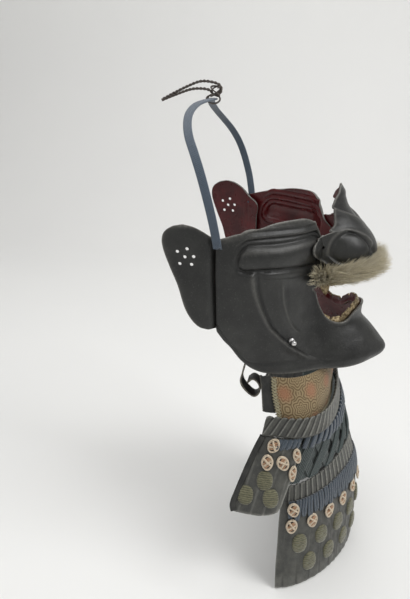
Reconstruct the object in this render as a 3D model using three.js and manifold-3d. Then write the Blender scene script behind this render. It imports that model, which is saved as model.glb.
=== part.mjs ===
// Samurai face guard: an iron half mask with a separate nose piece, ear plates, brass teeth and a
// hair moustache, a throat guard of laced leather lames below it, and a flat braided strap over
// the crown of the head.  Millimetres; +Z is up, the wearer faces -Y, the wearer's right is -X.
// The origin is the middle of the head, level with the two strap slots.
import * as THREE from 'three';
import { mergeVertices } from 'three/addons/utils/BufferGeometryUtils.js';
import Module from 'manifold-3d';

const wasm = await Module();
wasm.setup();

// ---------------------------------------------------------------- driving dimensions
const GAP = 0.35;               // clearance between neighbouring pieces
const IRON = 2.0;               // thickness of the mask plate
const NOSE_PLATE = 1.8;         // thickness of the nose piece
const EAR_PLATE = 1.6;          // thickness of an ear plate
const LEATHER = 1.8;            // thickness of the lames and edging
const PANEL = 1.5;              // thickness of the printed leather
const BRAID = 1.4;              // thickness of the laced bands
const FACE_AXIS_Y = -20;        // upright axis that the mask's shape is measured from
const MOUTH_CORNER = 37;        // degrees from the front to the corner of the mouth
const CHIN_FLOOR_Y = -80;       // how far back the floor under the chin reaches
const NOSE_LIFT = 2.75;         // how far the nose piece stands off the mask plate
const PIN_HOLE = 1.1;           // radius of the hole for the nose piece's pin
const EAR_HOLE = 1.15;          // radius of the six holes in an ear plate
const STRAP_WIDTH = 5.6;
const STRAP_THICK = 1.3;
const TOOTH_THICK = 1.2;
const LOWER_TEETH = { reach: 30, count: 10, height: 7.6, notch: 2.6 };
const UPPER_TEETH = { reach: 30, count: 10, height: 7, notch: 1.8, fang: 6 };
const WIRE = 1.5;               // thickness of the wire tie's strands
const KNOT_GAP = 0.5;           // clearance between a knot and the curved lame behind it
const KNOT = { wide: 10, tall: 11.5, deep: 2.6 };    // pale cross knots on the lames
const BOSS = { wide: 11.5, tall: 15, deep: 3.0 };    // olive knots on the lames

// Horizontal sections of the mask plate: its distance from the upright axis at eight angles.
const FACE_DEGREES = { front: 0, lip: 12, canine: 24, corner: 37, cheek: 55, side: 74, ear: 92, rear: 106 };
const FACE_SECTIONS = [
  { z: -99, front: 92, lip: 83.5, canine: 74.5, corner: 62.5, cheek: 59.8, side: 57.5, ear: 55, rear: 54 },
  { z: -92, front: 95.5, lip: 87.5, canine: 75, corner: 62.5, cheek: 57, side: 58, ear: 57, rear: 57 },
  { z: -85, front: 91, lip: 84.5, canine: 72, corner: 60, cheek: 56.5, side: 59, ear: 60, rear: 62 },
  { z: -76, front: 83.5, lip: 78, canine: 67, corner: 56.5, cheek: 55.8, side: 60, ear: 62.5, rear: 66 },
  { z: -68, front: 76, lip: 72, canine: 63, corner: 54, cheek: 55, side: 60, ear: 64.5, rear: 72 },
  { z: -60, front: 75.5, lip: 71.5, canine: 61.5, corner: 52.5, cheek: 54.5, side: 60, ear: 66.5, rear: 74.5 },
  { z: -52, front: 74.5, lip: 70.5, canine: 60.5, corner: 51, cheek: 54, side: 60, ear: 67, rear: 75.5 },
  { z: -40, front: 72.5, lip: 68.5, canine: 59, corner: 50, cheek: 53, side: 60, ear: 67.5, rear: 76 },
  { z: -30, front: 70, lip: 66, canine: 57, corner: 49.5, cheek: 53, side: 60.5, ear: 68, rear: 76.5 },
  { z: -20, front: 68, lip: 65, canine: 57.5, corner: 50, cheek: 55, side: 62, ear: 69, rear: 77 },
  { z: -8, front: 66, lip: 64, canine: 58, corner: 51.5, cheek: 57, side: 63, ear: 70, rear: 77 },
  { z: 4, front: 64, lip: 62, canine: 57, corner: 51.5, cheek: 56, side: 61, ear: 69, rear: 77 },
  { z: 16, front: 60, lip: 59, canine: 56, corner: 52, cheek: 55.5, side: 60, ear: 68, rear: 77 },
];

// Heights that run round the mask: its top edge, the groove and the cheekbone below it, the step
// under the cheekbone, the edges of the mouth, the crease above the lower flange and the rim.
const FACE_LEVELS = [
  { deg: 0, top: -23, groove: -25, bone: -26.5, foot: -29.5, step: -33.5, upper: -37, lower: -57.5, crease: -91, rim: -95.4 },
  { deg: 6, top: -22.5, groove: -24.5, bone: -26, foot: -29, step: -33.3, upper: -36.8, lower: -58, crease: -91.1, rim: -95.4 },
  { deg: 12, top: -20, groove: -22.5, bone: -24, foot: -28, step: -33, upper: -36.5, lower: -60.5, crease: -91.6, rim: -97 },
  { deg: 18, top: -17, groove: -20, bone: -21.5, foot: -26.5, step: -33, upper: -36.5, lower: -65.8, crease: -91.8, rim: -97.8 },
  { deg: 24, top: -13.5, groove: -15.5, bone: -17.5, foot: -25, step: -33, upper: -36.7, lower: -65.8, crease: -91.9, rim: -98 },
  { deg: 30, top: -8, groove: -10, bone: -12, foot: -23.5, step: -33, upper: -37.2, lower: -61, crease: -92, rim: -98 },
  { deg: 34, top: -4, groove: -6.5, bone: -9, foot: -22.3, step: -33, upper: -38.2, lower: -51, crease: -91.8, rim: -97.9 },
  { deg: 37, top: 2, groove: -1.5, bone: -4.5, foot: -21.6, step: -32.9, upper: -40.5, lower: -40.5, crease: -91.4, rim: -97.7 },
  { deg: 41, top: 7.4, groove: 1.6, bone: -2.2, foot: -20.6, step: -32.4, upper: -40.3, lower: -40.3, crease: -90.8, rim: -97.5 },
  { deg: 46.5, top: 10.7, groove: 2.3, bone: -1.1, foot: -19.8, step: -31.6, upper: -40.1, lower: -40.1, crease: -89.8, rim: -97.3 },
  { deg: 53, top: 12.9, groove: 2.6, bone: -0.8, foot: -19.1, step: -30.6, upper: -40, lower: -40, crease: -88.6, rim: -97.2 },
  { deg: 60, top: 13.5, groove: 2.7, bone: -1, foot: -18.4, step: -29.3, upper: -39.8, lower: -39.8, crease: -88.2, rim: -97.1 },
  { deg: 74, top: 12.8, groove: 2.9, bone: -1.5, foot: -16.9, step: -26.4, upper: -39.5, lower: -39.5, crease: -88, rim: -96.4 },
  { deg: 84, top: 10.7, groove: 2.9, bone: -1.2, foot: -16.5, step: -24.6, upper: -38.5, lower: -38.5, crease: -88, rim: -94.8 },
  { deg: 92, top: 8.7, groove: 2.2, bone: -1.7, foot: -17, step: -25.5, upper: -37.5, lower: -37.5, crease: -86, rim: -90 },
  { deg: 99, top: 6.2, groove: -3, bone: -7, foot: -19, step: -27.5, upper: -36, lower: -36, crease: -74.5, rim: -79 },
  { deg: 106, top: 3.4, groove: -6, bone: -10, foot: -22, step: -29, upper: -35, lower: -35, crease: -55, rim: -60 },
];

// The smile fold runs down the cheek: its angle at each height.
const SMILE_FOLD = [
  { z: -90, deg: 50 }, { z: -77, deg: 65.5 }, { z: -65, deg: 73.5 }, { z: -53, deg: 78.6 },
  { z: -45, deg: 82 }, { z: -38, deg: 84 }, { z: -31, deg: 85.6 }, { z: -17, deg: 87 },
];

// Horizontal sections of the nose piece: half its width in degrees, the distance of its ridge and
// of its side edge from the axis, and the angle where the nose meets the cheek.
const NOSE_SECTIONS = [
  { z: -25.2, half: 29, ridge: 76, edge: 57, foot: 31 },
  { z: -22, half: 31.5, ridge: 79.6, edge: 56, foot: 32 },
  { z: -18.3, half: 36, ridge: 81.6, edge: 54, foot: 33 },
  { z: -15, half: 43.5, ridge: 81.8, edge: 53, foot: 33 },
  { z: -11, half: 48.5, ridge: 80.6, edge: 52, foot: 33 },
  { z: -7, half: 49.5, ridge: 78.4, edge: 51.5, foot: 33 },
  { z: -3.5, half: 46, ridge: 75.8, edge: 51.3, foot: 33 },
  { z: -1.6, half: 37, ridge: 74, edge: 51.3, foot: 32 },
  { z: 0.8, half: 28.5, ridge: 72, edge: 51.2, foot: 31 },
  { z: 4, half: 24.2, ridge: 69, edge: 51, foot: 30 },
  { z: 8, half: 22.6, ridge: 65.6, edge: 50.8, foot: 29 },
  { z: 11.5, half: 22.2, ridge: 63, edge: 50.6, foot: 29 },
  { z: 15, half: 21.3, ridge: 60.8, edge: 50.6, foot: 28 },
  { z: 19, half: 18.2, ridge: 59.3, edge: 51.2, foot: 25 },
  { z: 23, half: 13.8, ridge: 57.2, edge: 51.4, foot: 20 },
  { z: 26.5, half: 8, ridge: 54.8, edge: 51.8, foot: 13 },
  { z: 29, half: 1.6, ridge: 53.2, edge: 52.8, foot: 6 },
];

// An ear plate is a tongue: its rear and front edges at each height, and how far its outer face
// is from the middle of the head at each distance back.
const EAR_OUTLINE = [
  { z: -58, rear: 6, front: -3 }, { z: -56, rear: 11.5, front: -5 }, { z: -50, rear: 17.2, front: -6 },
  { z: -42, rear: 21.3, front: -6 }, { z: -27, rear: 25.6, front: -6 }, { z: -15, rear: 30.4, front: -6 },
  { z: -3, rear: 34.6, front: -6 }, { z: 4, rear: 35.3, front: 2.6 }, { z: 9, rear: 33.2, front: 9 },
  { z: 12.4, rear: 28, front: 15.5 }, { z: 13.4, rear: 23.5, front: 20.5 },
];
const EAR_FACE = [
  { y: -6, x: 66.6 }, { y: -2, x: 67.9 }, { y: 0.5, x: 69.2 }, { y: 3, x: 71.8 }, { y: 6, x: 74.5 },
  { y: 9, x: 75.7 }, { y: 14, x: 76.8 }, { y: 24, x: 77.6 }, { y: 36, x: 78 },
];
const EAR_HOLES = [
  { y: 25.4, z: -4.2 }, { y: 19.1, z: -2.2 }, { y: 20.6, z: -7.6 },
  { y: 14.9, z: -7.2 }, { y: 23.9, z: -12.2 }, { y: 16.3, z: -12.4 },
];

// Horseshoe sections of the throat guard: half width, how far forward the front is, where the
// straight sides begin and end, and how square the bend is (2 is an ellipse).
const PANEL_SECTIONS = [
  { z: -99.6, half: 54, front: -78.2, side: -42, end: -36.5, square: 1.9 },
  { z: -110, half: 57.5, front: -78.4, side: -43, end: -38, square: 2.2 },
  { z: -120, half: 61, front: -78.2, side: -43.5, end: -41, square: 2.5 },
  { z: -130, half: 63.4, front: -77.8, side: -44, end: -43, square: 2.7 },
];
const LAME_SECTIONS = [
  { z: -124.5, half: 65.6, front: -82, side: -44, end: -34.5, square: 2.7 },
  { z: -130, half: 67, front: -83, side: -44, end: -33.5, square: 2.7 },
  { z: -139, half: 69, front: -85.2, side: -44, end: -32, square: 2.6 },
];
const HANGING_SECTIONS = [
  { z: -139.5, half: 61.6, front: -84.2, side: -45, end: -44, square: 2.5 },
  { z: -152, half: 62, front: -88, side: -46, end: -45, square: 2.1 },
  { z: -168, half: 63, front: -92, side: -47, end: -46, square: 1.75 },
  { z: -182.6, half: 64.4, front: -94.2, side: -48, end: -47, square: 1.6 },
];
const HANGING_RISE = 11.5;      // how much higher the front of the hanging lacing ends
const FRONT_SECTIONS = [
  { z: -183, half: 65, front: -95.2, side: -49, end: -48, square: 1.6 },
  { z: -195, half: 67.2, front: -99.4, side: -48.5, end: -48, square: 1.6 },
  { z: -213, half: 70, front: -103.6, side: -48, end: -47.5, square: 1.6 },
  { z: -232, half: 73, front: -105.4, side: -47.5, end: -47.5, square: 1.6 },
  { z: -252, half: 75.8, front: -105.6, side: -47.3, end: -47.3, square: 1.6 },
  { z: -269, half: 78, front: -105, side: -47.8, end: -47.8, square: 1.6 },
];
const FRONT_RISE = 11.5;        // how much higher the front of the front lame begins
// A side lame hangs from the upper lame and flares: how far out it is, its rear and front edges,
// and how much the front edge curls in.
const SIDE_SECTIONS = [
  { z: -139.9, out: 68.6, rear: -32.5, front: -57.5, curl: 3 },
  { z: -150, out: 71.5, rear: -28, front: -58, curl: 5 },
  { z: -164, out: 77, rear: -22.5, front: -57, curl: 8 },
  { z: -178, out: 83.5, rear: -17.5, front: -52.5, curl: 7 },
  { z: -188, out: 88, rear: -14.5, front: -49.5, curl: 6 },
  { z: -192.5, out: 90, rear: -16, front: -47, curl: 6 },
];
const EDGING_SECTIONS = [
  { z: -99.6, out: 54, rear: -27, front: -36 }, { z: -110, out: 56.5, rear: -29, front: -37.5 },
  { z: -124.1, out: 61.5, rear: -31, front: -41 },
];
// The torn end of the right edging: where its curl runs, seen from the side.
const CURL_PATH = [
  { y: -17.1, z: -91 }, { y: -15.1, z: -100 }, { y: -13.9, z: -107.5 }, { y: -17.1, z: -113.5 }, { y: -23.1, z: -118 },
  { y: -26.7, z: -114 }, { y: -26.1, z: -108.5 }, { y: -22.3, z: -105.3 }, { y: -18.7, z: -108.1 },
];
const CURL = { out: 51.6, width: 10 };

// The strap's route on the wearer's right, from the slot to the crown; the left side mirrors it.
const STRAP_ROUTE = [
  [-68, -0.1, -2.4], [-72.2, -0.1, -2.2], [-75.1, 0, -0.8], [-76.2, 0.3, 3], [-77.2, 1.4, 10], [-77.9, 3.4, 20], [-77, 7.2, 34],
  [-74, 11.4, 46], [-68.4, 16.2, 56], [-60, 21.4, 64.6], [-49, 25, 71.6], [-37, 26.4, 77.2], [-24, 25, 81.2], [-12, 21.6, 83], [0, 18.4, 83.6],
];
const STRAP_SLOT = { front: -3.2, rear: 3.2, bottom: -3.8, top: 0.5 };
// The wire tie: a ring round the strap at the crown and two strands that arch back to the head.
const TIE_RING = { centre: [0, 18.4, 83.6], wide: 4.8, tall: 2.8 };
const TIE_STRANDS = [
  [[0, 15, 86], [0, 12.8, 89.6], [0, 14.6, 93.2], [0.6, 21, 95], [1.4, 28.5, 95], [2.4, 37, 92], [3.6, 46, 88], [5, 57, 82.6]],
  [[0, 18, 86.2], [0, 21, 89.4], [0.6, 27, 90.4], [1.6, 35, 89.8], [3.2, 45, 86.6], [5, 57, 82.2]],
];

// ---------------------------------------------------------------- numbers and curves
const radians = THREE.MathUtils.degToRad;
const clamp = THREE.MathUtils.clamp;
const smooth = THREE.MathUtils.smoothstep;
const hill = (x, width) => Math.exp(-((x / width) ** 2));

// A smooth curve through a table's rows: column y as a function of column x.
function through(rows, xName, yName) {
  const sorted = [...rows].sort((a, b) => a[xName] - b[xName]);
  const xs = sorted.map((row) => row[xName]);
  const ys = sorted.map((row) => row[yName]);
  const last = xs.length - 1;
  const slope = (i) => {
    const before = Math.max(i - 1, 0);
    const after = Math.min(i + 1, last);
    return (ys[after] - ys[before]) / (xs[after] - xs[before]);
  };
  return (value) => {
    const x = clamp(value, xs[0], xs[last]);
    let i = 0;
    while (i < last - 1 && x > xs[i + 1]) i += 1;
    const span = xs[i + 1] - xs[i];
    const t = (x - xs[i]) / span;
    const a = slope(i) * span;
    const b = slope(i + 1) * span;
    return (2 * t ** 3 - 3 * t ** 2 + 1) * ys[i] + (t ** 3 - 2 * t ** 2 + t) * a
      + (3 * t ** 2 - 2 * t ** 3) * ys[i + 1] + (t ** 3 - t ** 2) * b;
  };
}

const columnsOf = (rows, xName) => Object.fromEntries(
  Object.keys(rows[0]).filter((name) => name !== xName).map((name) => [name, through(rows, xName, name)]),
);

const level = columnsOf(FACE_LEVELS, 'deg');
const noseAt = columnsOf(NOSE_SECTIONS, 'z');
const faceAt = columnsOf(FACE_SECTIONS, 'z');
const foldDegrees = through(SMILE_FOLD, 'z', 'deg');
const faceNames = Object.keys(FACE_DEGREES);

function plainRadius(deg, z) {
  const ring = faceNames.map((name) => ({ deg: FACE_DEGREES[name], r: faceAt[name](z) }));
  ring.push({ deg: -ring[1].deg, r: ring[1].r }, { deg: -ring[2].deg, r: ring[2].r });
  return through(ring, 'deg', 'r')(deg);
}

// Relief on the cheek: groove, cheekbone, the step below it and the smile fold with its roll.
function cheekRelief(deg, z) {
  const along = smooth(deg, 36, 43) * (1 - smooth(deg, 90, 99));
  const bone = level.bone(deg);
  const foot = level.foot(deg);
  const across = clamp((z - foot) / (bone - foot), 0, 1);
  let height = 2.8 * along * Math.sin(Math.PI * across) ** 0.7;
  height -= 0.9 * along * hill(z - level.groove(deg), 1.3);
  height += 0.6 * along * hill(z - level.groove(deg) - 2.6, 1.3);
  const step = level.step(deg);
  const shelf = smooth(deg, 37, 45) * (1 - smooth(deg, 76, 84));
  height += 1.3 * shelf * smooth(z, step - 1, step + 1.2) * (1 - smooth(z, foot - 1.6, foot));
  const behind = deg - foldDegrees(z);
  const length = smooth(z, -88, -76) * (1 - smooth(z, -20, -16));
  height += length * (1.7 * hill(behind - 6, 5) - 0.6 * hill(behind + 1, 3));
  return height;
}

const faceRadius = (deg, z) => plainRadius(deg, z) + (deg > 30 ? cheekRelief(deg, z) : 0);

// A point at an angle from the front (negative on the wearer's right), a distance and a height.
function polar(deg, radius, z) {
  const a = radians(deg);
  return new THREE.Vector3(radius * Math.sin(a), FACE_AXIS_Y - radius * Math.cos(a), z);
}
const onFace = (deg, z, lift = 0) => polar(deg, faceRadius(Math.abs(deg), z) + lift, z);

// ---------------------------------------------------------------- solids
// A plate from a grid of points on its outer face: the inner face is set in along the normals and
// the rims are closed.  Coinciding points are one, so a row may shrink to a point or a slit.
function plate(rows, thickness, { skip = () => false } = {}) {
  const points = [];
  const found = new Map();
  const number = (point) => {
    const key = point.toArray().map((v) => Math.round(v * 2000)).join();
    if (!found.has(key)) {
      found.set(key, points.length);
      points.push(point);
    }
    return found.get(key);
  };
  const grid = rows.map((row) => row.map(number));
  const faces = [];
  const face = (a, b, c) => {
    if (a !== b && b !== c && c !== a) faces.push([a, b, c]);
  };
  for (let r = 0; r + 1 < grid.length; r += 1) {
    for (let c = 0; c + 1 < grid[r].length; c += 1) {
      if (skip(r, c)) continue;
      const [a, b, d, e] = [grid[r][c], grid[r + 1][c], grid[r + 1][c + 1], grid[r][c + 1]];
      if (points[a].distanceTo(points[d]) <= points[b].distanceTo(points[e])) {
        face(a, b, d);
        face(a, d, e);
      } else {
        face(a, b, e);
        face(b, d, e);
      }
    }
  }
  return thicken(points, faces, thickness);
}

function thicken(points, faces, thickness) {
  const normals = points.map(() => new THREE.Vector3());
  const edges = new Set();
  for (const [a, b, c] of faces) {
    const ab = points[b].clone().sub(points[a]);
    const ac = points[c].clone().sub(points[a]);
    const normal = ab.cross(ac);
    [a, b, c].forEach((i) => normals[i].add(normal));
    edges.add(`${a},${b}`).add(`${b},${c}`).add(`${c},${a}`);
  }
  const count = points.length;
  const vertices = [...points, ...points.map((p, i) => p.clone().addScaledVector(normals[i].normalize(), -thickness))];
  const index = [];
  for (const [a, b, c] of faces) index.push(a, b, c, c + count, b + count, a + count);
  for (const edge of edges) {
    const [a, b] = edge.split(',').map(Number);
    if (!edges.has(`${b},${a}`)) index.push(b, a, a + count, b, a + count, b + count);
  }
  return indexed(vertices.flatMap((v) => v.toArray()), index);
}

function indexed(positions, index) {
  const geometry = new THREE.BufferGeometry();
  geometry.setAttribute('position', new THREE.Float32BufferAttribute(positions, 3));
  geometry.setIndex(index);
  return geometry;
}

function toSolid(geometry) {
  const bare = geometry.clone();
  bare.deleteAttribute('normal');
  bare.deleteAttribute('uv');
  const merged = mergeVertices(bare, 1e-4);
  return new wasm.Manifold(new wasm.Mesh({
    numProp: 3,
    vertProperties: new Float32Array(merged.attributes.position.array),
    triVerts: new Uint32Array(merged.index.array),
  }));
}

function fromSolid(solid) {
  const mesh = solid.getMesh();
  return indexed(Array.from(mesh.vertProperties), Array.from(mesh.triVerts));
}

const join = (geometries) => fromSolid(geometries.map(toSolid).reduce((all, one) => all.add(one)));
const cut = (geometry, tools) => fromSolid(tools.map(toSolid).reduce((all, one) => all.subtract(one), toSolid(geometry)));

function mirrored(geometry) {
  const copy = geometry.clone();
  copy.scale(-1, 1, 1);
  const { array } = copy.index;
  for (let i = 0; i < array.length; i += 3) [array[i], array[i + 1]] = [array[i + 1], array[i]];
  return copy;
}

// A rod between two points, for cutting holes and for short pegs.
function rod(from, to, radius, sides = 10) {
  const length = from.distanceTo(to);
  const geometry = new THREE.CylinderGeometry(radius, radius, length, sides);
  const along = to.clone().sub(from).normalize();
  geometry.applyQuaternion(new THREE.Quaternion().setFromUnitVectors(new THREE.Vector3(0, 1, 0), along));
  const middle = from.clone().lerp(to, 0.5);
  return geometry.translate(middle.x, middle.y, middle.z);
}

// A tube along a route: rings of a section, each square to the route and turned towards `outward`.
function tube(route, steps, section, outward) {
  const curve = new THREE.CatmullRomCurve3(route.map((p) => new THREE.Vector3(...p)), false, 'centripetal');
  const positions = [];
  const sides = section.length;
  for (let i = 0; i <= steps; i += 1) {
    const t = i / steps;
    const centre = curve.getPointAt(t);
    const along = curve.getTangentAt(t);
    const out = outward(centre, t).projectOnPlane(along).normalize();
    const across = along.clone().cross(out);
    for (const [u, v] of section) positions.push(...centre.clone().addScaledVector(across, u).addScaledVector(out, v).toArray());
  }
  const index = [];
  for (let i = 0; i < steps; i += 1) {
    for (let k = 0; k < sides; k += 1) {
      const [a, b] = [i * sides + k, i * sides + ((k + 1) % sides)];
      index.push(a, b + sides, b, a, a + sides, b + sides);
    }
  }
  const end = steps * sides;
  for (let k = 1; k + 1 < sides; k += 1) index.push(0, k, k + 1, end, end + k + 1, end + k);
  return indexed(positions, index);
}

const circle = (radius, sides) => Array.from({ length: sides }, (_, k) => {
  const a = (k / sides) * 2 * Math.PI;
  return [radius * Math.cos(a), radius * Math.sin(a)];
});

// ---------------------------------------------------------------- the mask
const FACE_COLUMNS = [0, 6, 12, 18, 24, 29.5, 33.5, 37, 41, 46, 52, 58.5, 65, 71.5, 78, 84, 90, 96, 101, 106];

function maskPlate() {
  const columns = [...FACE_COLUMNS.slice(1).reverse().map((d) => -d), ...FACE_COLUMNS];
  const steps = [['top', 'groove', 2], ['groove', 'bone', 1], ['bone', 'foot', 3], ['foot', 'step', 2], ['step', 'upper', 2]];
  const heights = columns.map((deg) => {
    const at = Math.abs(deg);
    const zs = [level.top(at)];
    for (const [from, to, count] of steps) {
      for (let i = 1; i <= count; i += 1) zs.push(THREE.MathUtils.lerp(level[from](at), level[to](at), i / count));
    }
    const inMouth = at < MOUTH_CORNER;
    const lip = inMouth ? level.lower(at) : level.upper(at);
    const jawRows = 5;
    for (let i = 0; i <= jawRows; i += 1) zs.push(THREE.MathUtils.lerp(lip, level.crease(at), i / jawRows));
    zs.push(level.rim(at));
    return zs;
  });
  const rowCount = heights[0].length;
  const rows = [];
  for (let r = 0; r < rowCount; r += 1) rows.push(columns.map((deg, c) => onFace(deg, heights[c][r])));
  rows.push(rows[rowCount - 1].map((p) => (p.y < CHIN_FLOOR_Y ? new THREE.Vector3(p.x * 0.94, CHIN_FLOOR_Y, p.z - 1) : p)));
  const mouthRow = steps.reduce((sum, [, , count]) => sum + count, 0);
  return cut(plate(rows, IRON, { skip: (r) => r === mouthRow }), [strapSlot(-1), strapSlot(1)]);
}

// The slot for the strap, through the cheek and the ear plate on one side.
function strapSlot(side) {
  const { front, rear, bottom, top } = STRAP_SLOT;
  const slot = new THREE.BoxGeometry(16, rear - front, top - bottom);
  return slot.translate(side * 72, (front + rear) / 2, (bottom + top) / 2);
}

// ---------------------------------------------------------------- the nose piece
function noseRadius(deg, z) {
  const at = Math.abs(deg);
  const edge = noseAt.edge(z);
  const across = clamp(at / noseAt.foot(z), 0, 1);
  let radius = edge + (noseAt.ridge(z) - edge) * (1 - across ** 2) ** 1.35;
  const browLine = 5.4 + 0.5 * at;
  radius -= 1.5 * smooth(z, browLine - 0.8, browLine + 1.2) * (1 - smooth(z, 20, 25));
  const fromWing = Math.hypot(radians(at - 20) * 64, z + 11.5);
  radius += 2.4 * Math.cos(clamp(fromWing / 10, 0, 1) * Math.PI / 2) - 1.6 * hill(fromWing - 10.6, 1.7);
  if (z > 1) return radius;
  return Math.max(radius, faceRadius(at, z) + NOSE_LIFT);
}

function nosePiece(lift = 0, thickness = NOSE_PLATE) {
  const heights = [29, 25.5, 21.5, 17.5, 14, 10.5, 7, 4, 1.5, -0.4, -2.2, -5, -8.5, -12, -15.5, -18.5, -21.8, -25.2];
  const fractions = Array.from({ length: 17 }, (_, i) => (i - 8) / 8);
  const rows = heights.map((z) => fractions.map((f) => {
    const deg = f * noseAt.half(z);
    return polar(deg, noseRadius(deg, z) + lift, z);
  }));
  return plate(rows, thickness);
}

function nosePieceWithHoles() {
  const holes = [-35.2, 35.2].map((deg) => rod(polar(deg, 45, -9.5), polar(deg, 65, -9.5), PIN_HOLE, 6));
  return cut(nosePiece(), holes);
}

// ---------------------------------------------------------------- ear plates, studs and teeth
const earFace = through(EAR_FACE, 'y', 'x');

function rightEarPlate() {
  const heights = [13.4, 10.9, 4.4, -12, -34, -48, -55.4, -58];
  const outline = columnsOf(EAR_OUTLINE, 'z');
  const shares = [0, 0.3, 0.56, 0.73, 0.81, 0.89, 1];
  const rows = heights.map((z) => shares.map((share) => {
    const y = THREE.MathUtils.lerp(outline.rear(z), outline.front(z), share);
    return new THREE.Vector3(-earFace(y), y, z);
  }));
  const holes = EAR_HOLES.map(({ y, z }) => rod(new THREE.Vector3(-90, y, z), new THREE.Vector3(-60, y, z), EAR_HOLE, 6));
  return cut(plate(rows, EAR_PLATE), [...holes, strapSlot(-1)]);
}

function rightJawStud() {
  const place = { deg: -60.4, z: -72.6 };
  const foot = onFace(place.deg, place.z, GAP + 0.5);
  const outward = polar(place.deg, 1, 0).sub(polar(place.deg, 0, 0));
  const profile = [[0, 0], [2.3, 0], [2.3, 1], [1.1, 1.4], [1.1, 3.2], [1.9, 4], [1.3, 5.4], [0, 5.7]];
  const stud = new THREE.LatheGeometry(profile.map(([r, h]) => new THREE.Vector2(r, h)), 6);
  stud.applyQuaternion(new THREE.Quaternion().setFromUnitVectors(new THREE.Vector3(0, 1, 0), outward));
  return fromSolid(toSolid(stud.translate(foot.x, foot.y, foot.z)));
}

// A row of teeth inside a lip, from `root` to `tip` at each angle; three columns make one tooth.
function teeth({ reach, count, inset, root, tip }) {
  const columns = Array.from({ length: count * 3 + 1 }, (_, i) => -reach + (2 * reach * i) / (count * 3));
  const ends = tip(0) > root(0) ? [tip, root] : [root, tip];
  return plate(ends.map((end) => columns.map((deg) => onFace(deg, end(deg), -inset))), TOOTH_THICK);
}

// Each tooth is a flat-topped peak between two notches.
const toothShape = (deg, reach, count) => Math.min(1, 1.6 * Math.abs(Math.sin((Math.PI * count * (deg + reach)) / (2 * reach))));

function lowerTeeth() {
  const { reach, count, height, notch } = LOWER_TEETH;
  const root = (deg) => level.lower(Math.abs(deg)) - 4;
  const tip = (deg) => root(deg) + height - notch * (1 - toothShape(deg, reach, count));
  return teeth({ reach, count, inset: IRON + 1.5, root, tip });
}

function upperTeeth() {
  const { reach, count, height, notch, fang } = UPPER_TEETH;
  const root = (deg) => level.upper(Math.abs(deg)) + 4;
  const tip = (deg) => root(deg) - height + notch * (1 - toothShape(deg, reach, count)) - fang * hill(Math.abs(deg) - 27, 2.2);
  return teeth({ reach, count, inset: IRON + 1.1, root, tip });
}

// ---------------------------------------------------------------- moustache
// The hair stands out from a backing on the upper lip in three pleated fans, one above another.
// Each fan's locks turn outwards to the sides and the outermost ones lie back along the cheeks.
const FANS = [
  { z: -29.4, mid: { out: 9.5, up: 0.6 }, tip: { out: 19, up: 12 }, thick: 5.6, reach: 37 },
  { z: -31.6, mid: { out: 13, up: 0.2 }, tip: { out: 23, up: 2 }, thick: 7.4, reach: 39 },
  { z: -33.6, mid: { out: 9, up: -1.6 }, tip: { out: 16, up: -5.5 }, thick: 5.6, reach: 36 },
];
const FAN_LOCKS = 9;

function hairFan({ z, mid, tip, thick, reach }) {
  const count = FAN_LOCKS * 2;
  const top = [];
  const bottom = [];
  for (let i = 0; i <= count; i += 1) {
    const deg = -reach + (2 * reach * i) / count;
    const side = Math.abs(deg) / reach;
    const valley = i % 2;
    const turn = deg * 0.75 + Math.sign(deg) * 38 * smooth(side, 0.75, 1);
    const root = onFace(deg, z, 1.7);
    const at = ({ out, up }, share) => {
      const a = radians(deg + turn * share);
      const length = out * (valley ? 0.8 : 1) * (1 - 0.22 * side);
      return new THREE.Vector3(root.x + Math.sin(a) * length, root.y - Math.cos(a) * length, root.z + up * (1 - 0.35 * side));
    };
    const half = (thick / 2) * (valley ? 0.6 : 1) * (1 - 0.35 * side);
    const up = new THREE.Vector3(0, 0, 1);
    const middle = at(mid, 0.7);
    const end = at(tip, 1);
    top.push([root.clone().addScaledVector(up, thick / 2), middle.clone().addScaledVector(up, half), end]);
    bottom.push([root.clone().addScaledVector(up, -thick / 2), middle.clone().addScaledVector(up, -half), end]);
  }
  const rows = [0, 1, 2].map((k) => top.map((column) => column[k])).concat([1, 0].map((k) => bottom.map((column) => column[k])));
  return closedStrip(rows);
}

// A body from rows that run right round it: the last row joins the first, the sides are capped.
function closedStrip(rows) {
  const width = rows[0].length;
  const positions = rows.flat().flatMap((p) => p.toArray());
  const at = (r, c) => (r % rows.length) * width + c;
  const index = [];
  for (let r = 0; r < rows.length; r += 1) {
    for (let c = 0; c + 1 < width; c += 1) index.push(at(r, c), at(r + 1, c + 1), at(r, c + 1), at(r, c), at(r + 1, c), at(r + 1, c + 1));
  }
  for (let r = 1; r + 1 < rows.length; r += 1) {
    index.push(at(0, 0), at(r + 1, 0), at(r, 0));
    index.push(at(0, width - 1), at(r, width - 1), at(r + 1, width - 1));
  }
  return indexed(positions, index);
}

function moustache() {
  const backing = plate([-27.4, -35.9].map((z) => Array.from({ length: 15 }, (_, i) => onFace(-35 + 5 * i, z, 3.3))), 2.2);
  return join([backing, ...FANS.map(hairFan)]);
}

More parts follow.
